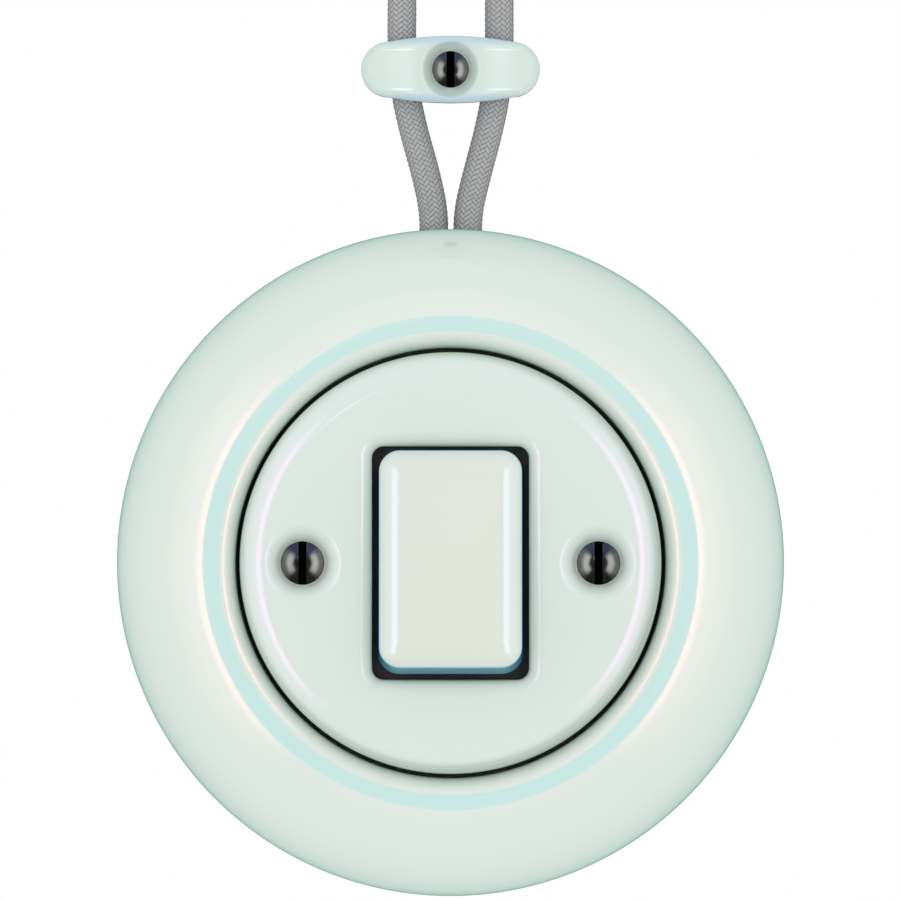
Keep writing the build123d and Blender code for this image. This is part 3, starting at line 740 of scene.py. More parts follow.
def close_tree(tree: NodeTree, shape: Any, material: Any) -> None:
    """Ends a geometry tree: real copies, their material and the output.

    Args:
        tree: The tree.
        shape: Socket with the geometry.
        material: Socket with the material.
    """
    real = add_node(tree, "GeometryNodeRealizeInstances", {"Geometry": shape})
    dressed = add_node(tree, "GeometryNodeSetMaterial", {"Geometry": real, "Material": material})
    add_node(tree, "NodeGroupOutput", {0: dressed})


def turned_tree() -> NodeTree:
    """Builds the tree that turns an outline of radius and depth about the switch's centre line."""
    tree, given = geometry_tree("turned_part", ("Lathe Radius",), ("Segments",), ())
    outline = add_node(tree, "GeometryNodeMeshToCurve", {"Mesh": given["Shape"]})
    circle = {"Resolution": given["Segments"], "Radius": given["Lathe Radius"]}
    rail = add_node(tree, "GeometryNodeCurvePrimitiveCircle", circle)
    skin = add_node(tree, "GeometryNodeCurveToMesh", {"Curve": rail, "Profile Curve": outline})
    facing = {"Geometry": skin, "Rotation": (QUARTER, 0, 0)}
    close_tree(tree, add_node(tree, "GeometryNodeTransform", facing), given["Material"])
    return tree


def slotted_tree() -> NodeTree:
    """Builds the tree that saws a driver slot into a screw and sets out a row of such screws."""
    measures = ("Slot Width", "Slot Depth", "Slot Length", "Head Front")
    tree, given = geometry_tree("slotted_screws", measures, ("Count",), ("First", "Pitch"))
    deep, out = (
        add_node(tree, "ShaderNodeMath", {0: given[name], 1: factor}, operation="MULTIPLY")
        for name, factor in (("Slot Depth", 2.0), ("Head Front", -1.0))
    )
    box = {"X": given["Slot Width"], "Y": deep, "Z": given["Slot Length"]}
    size = add_node(tree, "ShaderNodeCombineXYZ", box)
    saw = add_node(tree, "GeometryNodeMeshCube", {"Size": size})
    place = add_node(tree, "ShaderNodeCombineXYZ", {"Y": out})
    moved = add_node(tree, "GeometryNodeTransform", {"Geometry": saw, "Translation": place})
    pair = {0: given["Shape"], 1: moved}
    sawn = {"operation": "DIFFERENCE", "solver": "EXACT"}
    screw = add_node(tree, "GeometryNodeMeshBoolean", pair, **sawn)
    line = {"Count": given["Count"], "Start Location": given["First"], "Offset": given["Pitch"]}
    row = add_node(tree, "GeometryNodeMeshLine", line, mode="OFFSET")
    copies = add_node(tree, "GeometryNodeInstanceOnPoints", {"Points": row, "Instance": screw})
    close_tree(tree, copies, given["Material"])
    return tree


def coil_tree() -> NodeTree:
    """Builds the tree that winds a wire into a spring and leans it into place."""
    measures = ("Turns", "Coil Radius", "Wire Radius", "Rise")
    counts = ("Steps", "Wire Steps")
    tree, given = geometry_tree("wound_spring", measures, counts, ("Lean", "Foot"))
    spiral = {
        "Resolution": given["Steps"],
        "Rotations": given["Turns"],
        "Start Radius": given["Coil Radius"],
        "End Radius": given["Coil Radius"],
        "Height": given["Rise"],
    }
    line = add_node(tree, "GeometryNodeCurveSpiral", spiral)
    circle = {"Resolution": given["Wire Steps"], "Radius": given["Wire Radius"]}
    wire = add_node(tree, "GeometryNodeCurvePrimitiveCircle", circle)
    tube = {"Curve": line, "Profile Curve": wire, "Fill Caps": True}
    coil = add_node(tree, "GeometryNodeCurveToMesh", tube)
    lean = {"Geometry": coil, "Translation": given["Foot"], "Rotation": given["Lean"]}
    close_tree(tree, add_node(tree, "GeometryNodeTransform", lean), given["Material"])
    return tree


def grown(piece: Object, tree: NodeTree, values: dict[str, Any]) -> None:
    """Runs a geometry tree on a piece and keeps the plain mesh.

    Args:
        piece: The piece that carries the tree's first shape.
        tree: The tree.
        values: Value of each named input.
    """
    modifier = piece.modifiers.new(tree.name, "NODES")
    modifier.node_group = tree
    for item in tree.interface.items_tree:
        if item.in_out == "INPUT" and item.name in values:
            modifier[item.identifier] = values[item.name]
    mesh = evaluated(piece)
    piece.modifiers.remove(modifier)
    piece.data = mesh
    coat(mesh, values["Material"])


# Sub-assemblies


@dataclass
class PorcelainRing:
    """Outer porcelain ring: a bell-shaped shell turned about the switch's centre line."""

    radius: float = 50.0
    side_height: float = 8.0
    wall: float = 4.5
    crest_outer: float = 36.9
    crest_inner: float = 34.7
    crest_depth: float = 34.0
    crest_lead: float = 2.0
    bore: float = 32.1
    bore_wall: float = 4.5
    seat: float = 27.2
    ledge_width: float = 3.6
    ledge_thickness: float = 4.0
    notch_half: float = 5.3
    notch_height: float = 5.8
    notch_corner: float = 2.0
    worn: float = 0.6
    flank_rows: int = 72
    lip_rows: int = 20
    back_rows: int = 36
    segments: int = 384
    lathe_radius: float = 1.0

    def outline(self) -> np.ndarray:
        """Closed outline of radius and depth."""
        sweep = self.radius - self.crest_outer
        rise = self.crest_depth - self.side_height
        roll = self.crest_inner - self.bore
        under = self.seat - self.ledge_thickness
        top = self.crest_depth - self.wall
        centre = (self.crest_outer, self.side_height)
        lead = self.crest_lead / (sweep + self.crest_lead)
        flank = (sweep + self.crest_lead, rise / math.sqrt(1 - lead**2))
        turn = math.degrees(math.acos(lead))
        front = arc((centre[0] - self.crest_lead, centre[1]), flank, 0, turn, self.flank_rows)
        land = [[(self.crest_outer + self.crest_inner) / 2, self.crest_depth]]
        bend = (self.crest_inner, self.crest_depth - roll)
        lip = arc(bend, (roll, roll), 90, 180, self.lip_rows)
        inner, outer = self.bore - self.ledge_width, self.bore + self.bore_wall
        seat = [[self.bore, self.seat], [inner, self.seat], [inner, under]]
        ledge = [*seat, [outer, under], [outer, top]]
        back = arc(centre, (sweep - self.wall, rise - self.wall), 90, 0, self.back_rows)
        foot = [[self.radius - self.wall, 0], [self.radius, 0]]
        return softened(np.concatenate([front, land, lip, ledge, back, foot]), self.worn)

    def build(self, finishes: Finishes) -> Object:
        """Turns the ring, cuts the cable's mouth and dresses it.

        Args:
            finishes: The switch's finishes.

        Returns:
            The piece.
        """
        outline = self.outline()
        count = len(outline)
        points = [((r - self.lathe_radius) * MM, -d * MM, 0) for r, d in outline]
        mesh = bpy.data.meshes.new("glazed_ring")
        mesh.from_pydata(points, [(i, (i + 1) % count) for i in range(count)], [])
        piece = new_piece("glazed_ring", mesh)
        values = {"Segments": self.segments, "Lathe Radius": self.lathe_radius * MM}
        grown(piece, turned_tree(), {**values, "Material": finishes.ring})
        smoothed(piece)
        half, high = self.notch_half, self.notch_height
        notch = np.array([[-half, -1.0], [half, -1.0], [half, high], [-half, high]])
        mouth = softened(notch, self.notch_corner, 8)
        ends = (self.radius - 2 * self.wall, self.radius + self.wall)
        section = [[(x, -d, z) for x, d in mouth] for z in ends]
        cutter = loft("mouth", [np.array(loop) for loop in section], False)
        carved(piece, smoothed(cutter), "DIFFERENCE")
        smoothed(piece)
        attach(piece, "switch_base")
        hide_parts("ring_body")
        return piece


@dataclass
class PorcelainCover:
    """Porcelain cover: a shallow cap with the button's opening and two dished screw seats."""

    radius: float = 31.5
    face: float = 37.0
    back: float = 32.5
    seat: float = 28.0
    rim_width: float = 5.0
    round_width: float = 4.5
    round_height: float = 3.2
    opening: tuple[float, float, float] = (11.7, 17.4, 1.75)
    lip: float = 1.8
    lip_width: float = 2.2
    screw_x: float = 22.1
    dish_radius: float = 6.1
    dish_floor: float = 3.3
    dish_depth: float = 2.0
    dish_turn: float = 0.18
    hole_radius: float = 2.0
    boss_radius: float = 4.6
    boss_back: float = 28.3
    foot_width: float = 2.0
    worn: float = 0.5
    lap: float = 1.0
    rows: tuple[int, int, int, int, int] = (4, 18, 86, 32, 8)
    counts: tuple[int, int, int] = (60, 160, 10)

    def mouth(self, offset: float) -> np.ndarray:
        """Outline of the opening, moved outwards by an offset."""
        half_width, half_height, corner = self.opening
        return rounded_rectangle(
            half_width + offset, half_height + offset, corner + offset, self.counts
        )

    def sunk(self, points: np.ndarray) -> np.ndarray:
        """How far the two dishes lower the face at each point: steep at the floor, then easing."""
        reach = np.hypot(np.abs(points[:, 0]) - self.screw_x, points[:, 1])
        t = np.clip((reach - self.dish_floor) / (self.dish_radius - self.dish_floor), 0, 1)
        turn = self.dish_turn
        climb = np.where(t < turn, t * t / turn, 1 - (1 - t) ** 2 / (1 - turn))
        return self.dish_depth * (1 - climb)

    def loops(self) -> list[np.ndarray]:
        """Loops of the cover, from the opening's wall over the face and round to the back."""
        base = self.mouth(0.0)
        aim = base / np.linalg.norm(base, axis=1)[:, None]
        shoulder = self.radius - self.round_width
        hollow = self.radius - self.rim_width
        wall, lip, face, roll, floor = self.rows
        top = self.face - self.lip
        rows = [placed(base, d) for d in np.linspace(self.back + 0.2, top, wall)]
        for offset, rise in arc((self.lip_width, 0), (self.lip_width, self.lip), 180, 90, lip)[1:]:
            rows.append(placed(self.mouth(offset), top + rise))
        brim = self.mouth(self.lip_width)
        for t in np.linspace(0, 1, face)[1:]:
            flat = brim * (1 - t) + aim * shoulder * t
            rows.append(placed(flat, self.face - self.sunk(flat)))
        bend = (self.round_width, self.round_height)
        edge = arc((shoulder, self.face - self.round_height), bend, 90, 0, roll)[1:]
        rows += [placed(aim * r, d - self.sunk(aim * r)) for r, d in edge]
        rest = [[self.radius, self.seat], [hollow, self.seat], [hollow, self.back]]
        foot = hollow - self.foot_width
        side = np.concatenate([edge[-1:], rest, [[foot, self.back]]])
        # softened() closes the line, so the five points that round each of its ends are left out.
        rows += [placed(aim * r, d) for r, d in softened(side, self.worn)[5:-5]]
        for t in np.linspace(0, 1, floor):
            rows.append(placed(aim * foot * (1 - t) + base * t, self.back))
        return rows

    def build(self, finishes: Finishes) -> Object:
        """Skins the cover, adds its bosses, drills it and dresses it.

        Args:
            finishes: The switch's finishes.

        Returns:
            The piece.
        """
        piece = loft("glazed_cover", self.loops(), True)
        smoothed(piece)
        places = [(-self.screw_x, 0.0), (self.screw_x, 0.0)]
        boss = circle(self.boss_radius)
        carved(piece, bars("bosses", boss, places, self.boss_back, self.back + self.lap), "UNION")
        hole = circle(self.hole_radius)
        carved(piece, bars("holes", hole, places, self.seat - self.lap, self.face), "DIFFERENCE")
        smoothed(piece)
        coat(piece.data, finishes.cover)
        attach(piece, "switch_base")
        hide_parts("cover_disc")
        return piece


@dataclass
class RockerButton:
    """Porcelain rocking button: a hollow drafted cap with soft edges, its top pressed in."""

    half_width: float = 10.95
    half_height: float = 16.6
    corner: float = 3.4
    draft: float = 2.5
    round_width: float = 2.8
    round_depth: float = 1.9
    round_lead: float = 2.4
    wall: float = 2.2
    face_wall: float = 2.4
    skirt: float = 34.0
    front: float = 42.0
    pivot: float = 35.0
    tilt: float = 7.0
    crown: float = 0.08
    worn: float = 0.3
    least_corner: float = 0.6
    outer_rows: tuple[int, int, int] = (8, 22, 34)
    inner_rows: tuple[int, int] = (6, 8)
    counts: tuple[int, int, int] = (26, 44, 12)

    def section(self, depth: float, inset: float) -> np.ndarray:
        """Outline at a depth, drafted and moved inwards.

        Args:
            depth: Depth of the section.
            inset: How far inside the outer wall it lies.

        Returns:
            The loop's points.
        """
        less = inset + (depth - self.skirt) * math.tan(math.radians(self.draft))
        corner = max(self.corner - less, self.least_corner)
        width, height = self.half_width - less, self.half_height - less
        return placed(rounded_rectangle(width, height, corner, self.counts), depth)

    def filled(self, loop: np.ndarray, crown: float, steps: int) -> list[np.ndarray]:
        """Loops that close a face from its edge to near its middle.

        Args:
            loop: The face's edge.
            crown: How far the middle stands proud.
            steps: Number of loops.

        Returns:
            The loops.
        """
        middle = loop.mean(0)
        rows = []
        for t in np.linspace(1, 0, steps + 1)[1:-1]:
            inner = middle + (loop - middle) * t
            inner[:, 1] -= crown * (1 - t * t)
            rows.append(inner)
        return rows

    def build(self, finishes: Finishes) -> Object:
        """Skins the button, tips it and dresses it.

        Args:
            finishes: The switch's finishes.

        Returns:
            The piece.
        """
        shoulder = self.front - self.round_depth
        wall, roll, face = self.outer_rows
        hem = self.skirt + self.worn
        outer = [self.section(d, 0.0) for d in np.linspace(hem, shoulder, wall)]
        reach = self.round_width + self.round_lead
        share = self.round_lead / reach
        radii = (reach, self.round_depth / math.sqrt(1 - share**2))
        stop = 180 - math.degrees(math.acos(share))
        for inset, rise in arc((reach, 0), radii, 180, stop, roll)[1:]:
            outer.append(self.section(shoulder + rise, inset))
        outer += self.filled(outer[-1], self.crown, face)
        ceiling = self.front - self.face_wall
        wall, face = self.inner_rows
        inner = [self.section(self.skirt, inset) for inset in (self.worn, self.wall - self.worn)]
        inner += [self.section(d, self.wall) for d in np.linspace(hem, ceiling, wall)]
        inner += self.filled(inner[-1], 0.0, face)
        loops = np.array(inner[::-1] + outer)
        turn = math.radians(-self.tilt)
        y, z = loops[:, :, 1] + self.pivot, loops[:, :, 2].copy()
        loops[:, :, 1] = y * math.cos(turn) - z * math.sin(turn) - self.pivot
        loops[:, :, 2] = y * math.sin(turn) + z * math.cos(turn)
        piece = smoothed(loft("glazed_button", list(loops), False), 40.0)
        coat(piece.data, finishes.button)
        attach(piece, "button")
        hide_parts("button")
        return piece


@dataclass
class CableClip:
    """Porcelain clip: an arched bar with a dished screw seat and a tunnel for each cable."""

    centre_z: float = 73.95
    half_height: float = 5.03
    side_radius: float = 51.0
    reach: float = 9.25
    depth: float = 9.2
    arch: float = 27.0
    front_round: float = 1.4
    dish_radius: float = 4.75
    dish_floor: float = 2.85
    dish_depth: float = 2.0
    hole_radius: float = 2.0
    tunnel_x: float = 6.95
    tunnel_radius: float = 2.8
    tunnel_centre: float = 2.2
    soft_blend: float = 0.5
    least_rise: float = 0.03
    easing: int = 12
    end_points: int = 80
    side_points: int = 130
    roof_points: int = 33
    rows: tuple[int, int, int, int] = (10, 12, 18, 72)

    def outline(self) -> np.ndarray:
        """Front view: two long arcs between round ends, the corners between them eased."""
        sag = self.side_radius - math.sqrt(self.side_radius**2 - self.reach**2)
        end = self.half_height - sag
        spread = math.degrees(math.asin(self.reach / self.side_radius))
        side = (self.side_radius, self.side_radius)
        low = self.half_height - self.side_radius
        sides = [
            arc((self.reach, 0), (end, end), -90, 90, self.end_points)[:-1],
            arc((0, low), side, 90 - spread, 90 + spread, self.side_points)[:-1],
            arc((-self.reach, 0), (end, end), 90, 270, self.end_points)[:-1],
            arc((0, -low), side, 270 - spread, 270 + spread, self.side_points)[:-1],
        ]
        loop = np.concatenate(sides)
        for _ in range(self.easing):
            loop = (np.roll(loop, 1, 0) + 2 * loop + np.roll(loop, -1, 0)) / 4
        return loop

    def front(self, flat: np.ndarray, drop: float) -> np.ndarray:
        """Depth of the front at each point, arched, eased at its edge and dished.

        Args:
            flat: Points of X and Z from the clip's centre.
            drop: How far the eased edge lies below the arch.

        Returns:
            Depth of each point.
        """
        arch = self.depth - self.arch + np.sqrt(self.arch**2 - flat[:, 0] ** 2) - drop
        reach = np.hypot(flat[:, 0], flat[:, 1])
        t = np.clip((reach - self.dish_floor) / (self.dish_radius - self.dish_floor), 0, 1)
        dish = self.depth - self.dish_depth * (1 - t * t * (3 - 2 * t))
        dish = dish + np.clip(reach - self.dish_radius, 0, None)
        return soft_min(arch, dish, self.soft_blend)

    def loops(self) -> list[np.ndarray]:
        """Loops of the clip, from the middle of its foot round to the middle of its front."""
        edge = self.outline()
        along = np.roll(edge, -1, 0) - np.roll(edge, 1, 0)
        inward = np.stack([-along[:, 1], along[:, 0]], axis=1)
        inward /= np.linalg.norm(inward, axis=1)[:, None]
        foot, wall, roll, face = self.rows
        rows = [placed(edge * t, 0.0) for t in np.linspace(0, 0.9, foot)[1:]]
        lip = self.front(edge, self.front_round)
        rows += [placed(edge, lip * share) for share in np.linspace(self.least_rise, 1, wall)]
        for inset, rise in arc((self.front_round, 0), (self.front_round,) * 2, 180, 90, roll)[1:]:
            flat = edge + inward * inset
            rows.append(placed(flat, self.front(flat, self.front_round - rise)))
        inner = edge + inward * self.front_round
        for t in np.linspace(1, 0, face)[1:-1]:
            rows.append(placed(inner * t, self.front(inner * t, 0.0)))
        return [row + np.array([0.0, 0.0, self.centre_z]) for row in rows]

    def build(self, finishes: Finishes) -> Object:
        """Skins the clip, cuts its tunnels and hole and dresses it.

        Args:
            finishes: The switch's finishes.

        Returns:
            The piece.
        """
        piece = smoothed(loft("glazed_clip", self.loops(), False))
        wide = self.tunnel_radius
        roof = arc((0, self.tunnel_centre), (wide, wide), 0, 180, self.roof_points)
        roof = np.concatenate([roof, [[-wide, -1.0], [wide, -1.0]]])
        long = 2 * self.half_height
        for x in (-self.tunnel_x, self.tunnel_x):
            ends = [self.centre_z - long, self.centre_z + long]
            walls = [np.array([(x + px, -d, z) for px, d in roof]) for z in ends]
            carved(piece, smoothed(loft("tunnel", walls, False)), "DIFFERENCE")
        hole = circle(self.hole_radius)
        drill = bars("drill", hole, [(0.0, self.centre_z)], -1.0, self.depth)
        carved(piece, drill, "DIFFERENCE")
        smoothed(piece)
        coat(piece.data, finishes.clip)
        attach(piece, "switch_base")
        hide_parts("clip_saddle")
        return piece


@dataclass
class SlottedScrews:
    """One kind of blackened, domed and slotted screw with a rolled thread."""

    name: str
    node: str
    head_radius: float
    head_edge: float
    dome: float
    seat: float
    tip: float
    pitch: float
    thread_depth: float
    point: float
    places: list[tuple[float, float]]
    shank_radius: float = 1.75
    plain: float = 1.5
    slot_width: float = 1.2
    slot_depth: float = 1.1
    worn_edge: float = 0.13
    worn_head: float = 0.18
    ridge: tuple[float, float] = (1.6, 0.5)
    least_point: float = 0.08
    rows_per_turn: int = 8
    crown_rows: int = 16
    crease: float = 35.0
    break_angle: float = 50.0
    count: int = 72

    def loops(self) -> list[np.ndarray]:
        """Loops of one screw from its tip to its crown, with a ridge that winds up the shank."""
        turn = np.linspace(0, 2 * math.pi, self.count, endpoint=False)
        around = np.stack([np.cos(turn), np.sin(turn)], axis=1)
        shank = []
        last = self.seat - self.plain
        steep, sunk = self.ridge
        for depth in np.arange(self.tip + 0.05, last, self.pitch / self.rows_per_turn):
            phase = (depth / self.pitch + turn / (2 * math.pi)) % 1.0
            ridge = np.clip(steep * np.abs(2 * phase - 1) - sunk, 0, 1)
            fade = min(1.0, (last - depth) / self.pitch)
            reach = min(1.0, (depth - self.tip) / self.point) if self.point else 1.0
            radius = self.shank_radius - self.thread_depth * (1 - ridge * fade)
            radius *= max(reach, self.least_point)
            shank.append(placed(around * radius[:, None], depth))
        crown = (self.head_radius**2 + self.dome**2) / (2 * self.dome)
        rise = self.seat + self.head_edge
        spread = math.degrees(math.asin(self.head_radius / crown))
        centre = (0, rise + self.dome - crown)
        top = arc(centre, (crown, crown), 90 - spread, 90, self.crown_rows)[:-1]
        neck = [[self.shank_radius, last], [self.shank_radius, self.seat]]
        head = np.concatenate([neck, [[self.head_radius, self.seat]], top])
        # softened() closes the line, so the four points that round each of its ends are left out.
        eased = softened(head, self.worn_head, 3)[4:-4]
        return shank + [placed(around * r, d) for r, d in eased if r > 0.05]

    def mark_painted_slot_shade(self, mesh: Mesh) -> None:
        """Marks the faces of the slot with the attribute "sawn", which gives them painted shade.

        Args:
            mesh: Mesh of every screw of the row.
        """
        middles = np.array([face.center for face in mesh.polygons]) / MM
        aside = np.min([np.abs(middles[:, 0] - x) for x, _ in self.places], axis=0)
        floor = self.seat + self.head_edge + self.dome - self.slot_depth
        inside = (aside < self.slot_width / 2 + 0.01) & (-middles[:, 1] > floor - 0.01)
        sawn = mesh.attributes.new("sawn", "FLOAT", "FACE")
        sawn.data.foreach_set("value", inside.astype(np.float32))

    def build(self, finishes: Finishes) -> Object:
        """Makes the screws and dresses them.

        Args:
            finishes: The switch's finishes.

        Returns:
            The piece.
        """
        piece = smoothed(loft(self.name, self.loops(), False))
        first, last = Vector(self.places[0]), Vector(self.places[-1])
        step = (last - first) / max(len(self.places) - 1, 1)
        values = {
            "Slot Width": self.slot_width * MM,
            "Slot Depth": self.slot_depth * MM,
            "Slot Length": 3 * self.head_radius * MM,
            "Head Front": (self.seat + self.head_edge + self.dome) * MM,
            "Count": len(self.places),
            "First": (first.x * MM, 0.0, first.y * MM),
            "Pitch": (step.x * MM, 0.0, step.y * MM),
            "Material": finishes.black_steel,
        }
        grown(piece, slotted_tree(), values)
        smoothed(piece, self.crease)
        self.mark_painted_slot_shade(piece.data)
        edge = piece.modifiers.new("broken_edges", "BEVEL")
        edge.width = self.worn_edge * MM
        edge.segments = 2
        edge.limit_method = "ANGLE"
        edge.angle_limit = math.radians(self.break_angle)
        edge.harden_normals = True
        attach(piece, "switch_base")
        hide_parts(self.node)
        return piece


@dataclass
class BraidedCable:
    """One cable: a cotton braid over its insulation, along a smooth route held by the clip."""

    name: str
    node: str
    tails: str
    route: list[tuple[float, float, float]]
    diameter: float = 4.35
    core_radius: float = 1.72
    core_proud: float = 0.8
    carriers: int = 16
    lay: float = 0.8
    relief: float = 0.16
    tuck: float = 0.48
    tuck_slope: float = 1.4
    fibres: tuple[float, float] = (9.0, 1.5)
    around: int = 144
    along: int = 655
    easing: int = 6
    core_points: int = 40

    def centreline(self) -> np.ndarray:
        """Points on the smooth route, close together, in metres."""
        curve = bpy.data.curves.new(self.name + "_route", "CURVE")
        curve.dimensions = "3D"
        curve.resolution_u = 24
        spline = curve.splines.new("NURBS")
        spline.points.add(len(self.route) - 1)
        for point, place in zip(spline.points, self.route):
            point.co = (*(v * MM for v in place), 1.0)
        spline.order_u = 3
        spline.use_endpoint_u = True
        holder = new_piece(self.name + "_route", curve)
        line = np.array([v.co for v in evaluated(holder).vertices])
        bpy.data.objects.remove(holder)
        return line

    def frames(self) -> tuple[np.ndarray, np.ndarray, np.ndarray, np.ndarray]:
        """Evenly spaced ring centres with their directions and two axes across each."""
        line = self.centreline()
        run = np.concatenate([[0], np.cumsum(np.linalg.norm(np.diff(line, axis=0), axis=1))])
        even = np.linspace(0, run[-1], self.along)
        centres = np.stack([np.interp(even, run, line[:, i]) for i in range(3)], axis=1)
        for _ in range(self.easing):
            centres[1:-1] = (centres[:-2] + 2 * centres[1:-1] + centres[2:]) / 4
        ahead = np.gradient(centres, axis=0)
        ahead /= np.linalg.norm(ahead, axis=1)[:, None]
        side = np.cross(ahead, (0, 1, 0))
        side /= np.linalg.norm(side, axis=1)[:, None]
        return centres, ahead, side, np.cross(ahead, side)

    def yarns(self, turns: np.ndarray, length: np.ndarray) -> tuple[np.ndarray, np.ndarray]:
        """Number of the yarn at each place, for the yarns that wind left and then right."""
        return self.carriers * turns + length / self.lay, self.carriers * turns - length / self.lay

    def weave(self, turns: np.ndarray, length: np.ndarray) -> np.ndarray:
        """Height of the braid from 0 to 1: two sets of yarns wind both ways, over two, under two.

        Args:
            turns: Share of a turn round the cable.
            length: Distance along it, in millimetres.

        Returns:
            Height at each place.
        """
        left, right = self.yarns(turns, length)
        heights = []
        for here, other, sign in ((left, right, 1), (right, left, -1)):
            number = np.floor(here)
            back = 1 - (2 * (here - number) - 1) ** 2
            over = sign * np.sin(np.pi / 2 * (other + number))
            height = 1 - self.tuck + self.tuck * np.clip(self.tuck_slope * over, -1, 1)
            heights.append(np.sqrt(back) * height)
        return np.maximum(*heights)

    def build(self, finishes: Finishes) -> Object:
        """Args:
            finishes: The switch's finishes.

        Returns:
            The piece.
        """
        frames = self.frames()
        centres, _, side, up = frames
        spacing = np.linalg.norm(np.diff(centres, axis=0), axis=1)
        length = np.concatenate([[0], np.cumsum(spacing)]) / MM
        turns = np.linspace(0, 1, self.around, endpoint=False)
        grid_turns, grid_length = np.meshgrid(turns, length)
        height = self.weave(grid_turns, grid_length)
        radius = (self.diameter / 2 - self.relief * (1 - height)) * MM
        angle = 2 * np.pi * grid_turns
        points = (
            centres[:, None]
            + (radius * np.cos(angle))[..., None] * side[:, None]
            + (radius * np.sin(angle))[..., None] * up[:, None]
        )
        piece = loft(self.name, list(points / MM), False)
        mesh = piece.data
        relief = mesh.attributes.new("relief", "FLOAT", "POINT")
        poles = [0.0] * (len(mesh.vertices) - height.size)
        relief.data.foreach_set("value", np.concatenate([height.ravel(), poles]).astype(np.float32))
        self.lay_fibres(mesh, grid_turns, grid_length)
        mesh.shade_smooth()
        coat(mesh, finishes.braid)
        piece.visible_glossy = False
        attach(piece, "switch_base")
        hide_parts(self.node)
        core = self.core(frames, finishes)
        return piece

    def lay_fibres(self, mesh: Mesh, turns: np.ndarray, length: np.ndarray) -> None:
        """Gives the braid a UV map that runs along whichever yarn is on top.

        Args:
            mesh: The braid's mesh.
            turns: Share of a turn at each point.
            length: Distance along the cable at each point, in millimetres.
        """
        left, right = self.yarns(turns, length)
        flip = (np.floor(left) + np.floor(right)) % 4 < 2
        across = np.where(flip, left, right) * self.fibres[0]
        beside = np.where(flip, right, left) * self.fibres[1]
        flat = np.stack([across.ravel(), beside.ravel()], axis=1)
        flat = np.concatenate([flat, np.zeros((len(mesh.vertices) - len(flat), 2))])
        layer = mesh.uv_layers.new(name="yarns")
        corners = np.zeros(len(mesh.loops), np.int32)
        mesh.loops.foreach_get("vertex_index", corners)
        layer.data.foreach_set("uv", flat[corners].astype(np.float32).ravel())

    def core(self, frames: tuple[np.ndarray, ...], finishes: Finishes) -> Object:
        """Stubs of insulation that stand out of the braid at both ends.

        Args:
            frames: Ring centres of the braid, with their directions and axes across.
            finishes: The switch's finishes.

        Returns:
            The piece.
        """
        centres, ahead, side, up = frames
        turn = np.linspace(0, 2 * np.pi, self.core_points, endpoint=False)
        stubs = []
        for end, sign in ((0, -1), (-1, 1)):
            across = np.outer(np.cos(turn), side[end]) + np.outer(np.sin(turn), up[end])
            steps = ((-2.0, 1.0), (self.core_proud - 0.1, 1.0), (self.core_proud, 0.94))
            loops = [
                (centres[end] + ahead[end] * sign * reach * MM) / MM
                + across * self.core_radius * share
                for reach, share in steps
            ]
            stubs.append(smoothed(loft(self.name + "_core", loops, False), 50.0))
        work = bmesh.new()
        for stub in stubs:
            work.from_mesh(stub.data)
        work.to_mesh(stubs[0].data)
        work.free()
        bpy.data.objects.remove(stubs[1])
        coat(stubs[0].data, finishes.rubber)
        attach(stubs[0], "switch_base")
        return stubs[0]


@dataclass
class DetentSpring:
    """Coil spring in the cradle's neck, which the plunger squeezes as it slides in."""

    pivot: float
    tilt: float
    foot: float = 31.5
    top: float = 36.4
    wire: float = 0.36
    coil_radius: float = 1.22
    turns: float = 5.0
    steps: int = 36
    wire_steps: int = 14
    stroke: float = 0.6

    def build(self, finishes: Finishes) -> Object:
        """Winds the spring, dresses it and hangs it on the button.

        Args:
            finishes: The switch's finishes.

        Returns:
            The piece.
        """
        lean = math.radians(self.tilt)
        axis = Vector((0.0, -math.cos(lean), math.sin(lean)))
        pivot = Vector((0.0, -self.pivot, 0.0))
        start = pivot + axis * (self.foot + self.wire / 2 - self.pivot)
        length = self.top - self.foot
        piece = new_piece("wound_detent_spring", bpy.data.meshes.new("wound_detent_spring"))
        values = {
            "Steps": self.steps,
            "Wire Steps": self.wire_steps,
            "Turns": self.turns,
            "Coil Radius": self.coil_radius * MM,
            "Wire Radius": self.wire / 2 * MM,
            "Rise": (length - self.wire) * MM,
            "Lean": (QUARTER - lean, 0.0, 0.0),
            "Foot": tuple(start * MM),
            "Material": finishes.spring,
        }
        grown(piece, coil_tree(), values)
        smoothed(piece, 60.0)
        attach(piece, "button")
        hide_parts("detent_spring")
        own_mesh(piece)
        return piece


class Mechanism:
    """Everything that keeps its construction shape: the inner parts, with real finishes."""

    def dress(self, frame: dict[str, Any], finishes: Finishes) -> None:
        """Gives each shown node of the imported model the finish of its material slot.

        Args:
            frame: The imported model.
            finishes: The switch's finishes.
        """
        by_slot = {
            "porcelain": finishes.cover,
            "black_moulding": finishes.resin,
            "black_rubber": finishes.gasket_and_gap_shade,
            "black_steel": finishes.black_steel,
            "zinc_steel": finishes.zinc,
            "spring_steel": finishes.spring,
            "brass": finishes.brass,
            "contact_silver": finishes.silver,
            "braid": finishes.braid,
            "copper": finishes.copper,
        }
        for row in frame["record"]["subparts"]:
            node = frame["nodes"][row["node"]]
            coat(node.data, by_slot[row["material_slot"]])
            log.info("dressed %s as %s", row["node"], row["material_slot"])


# Studio


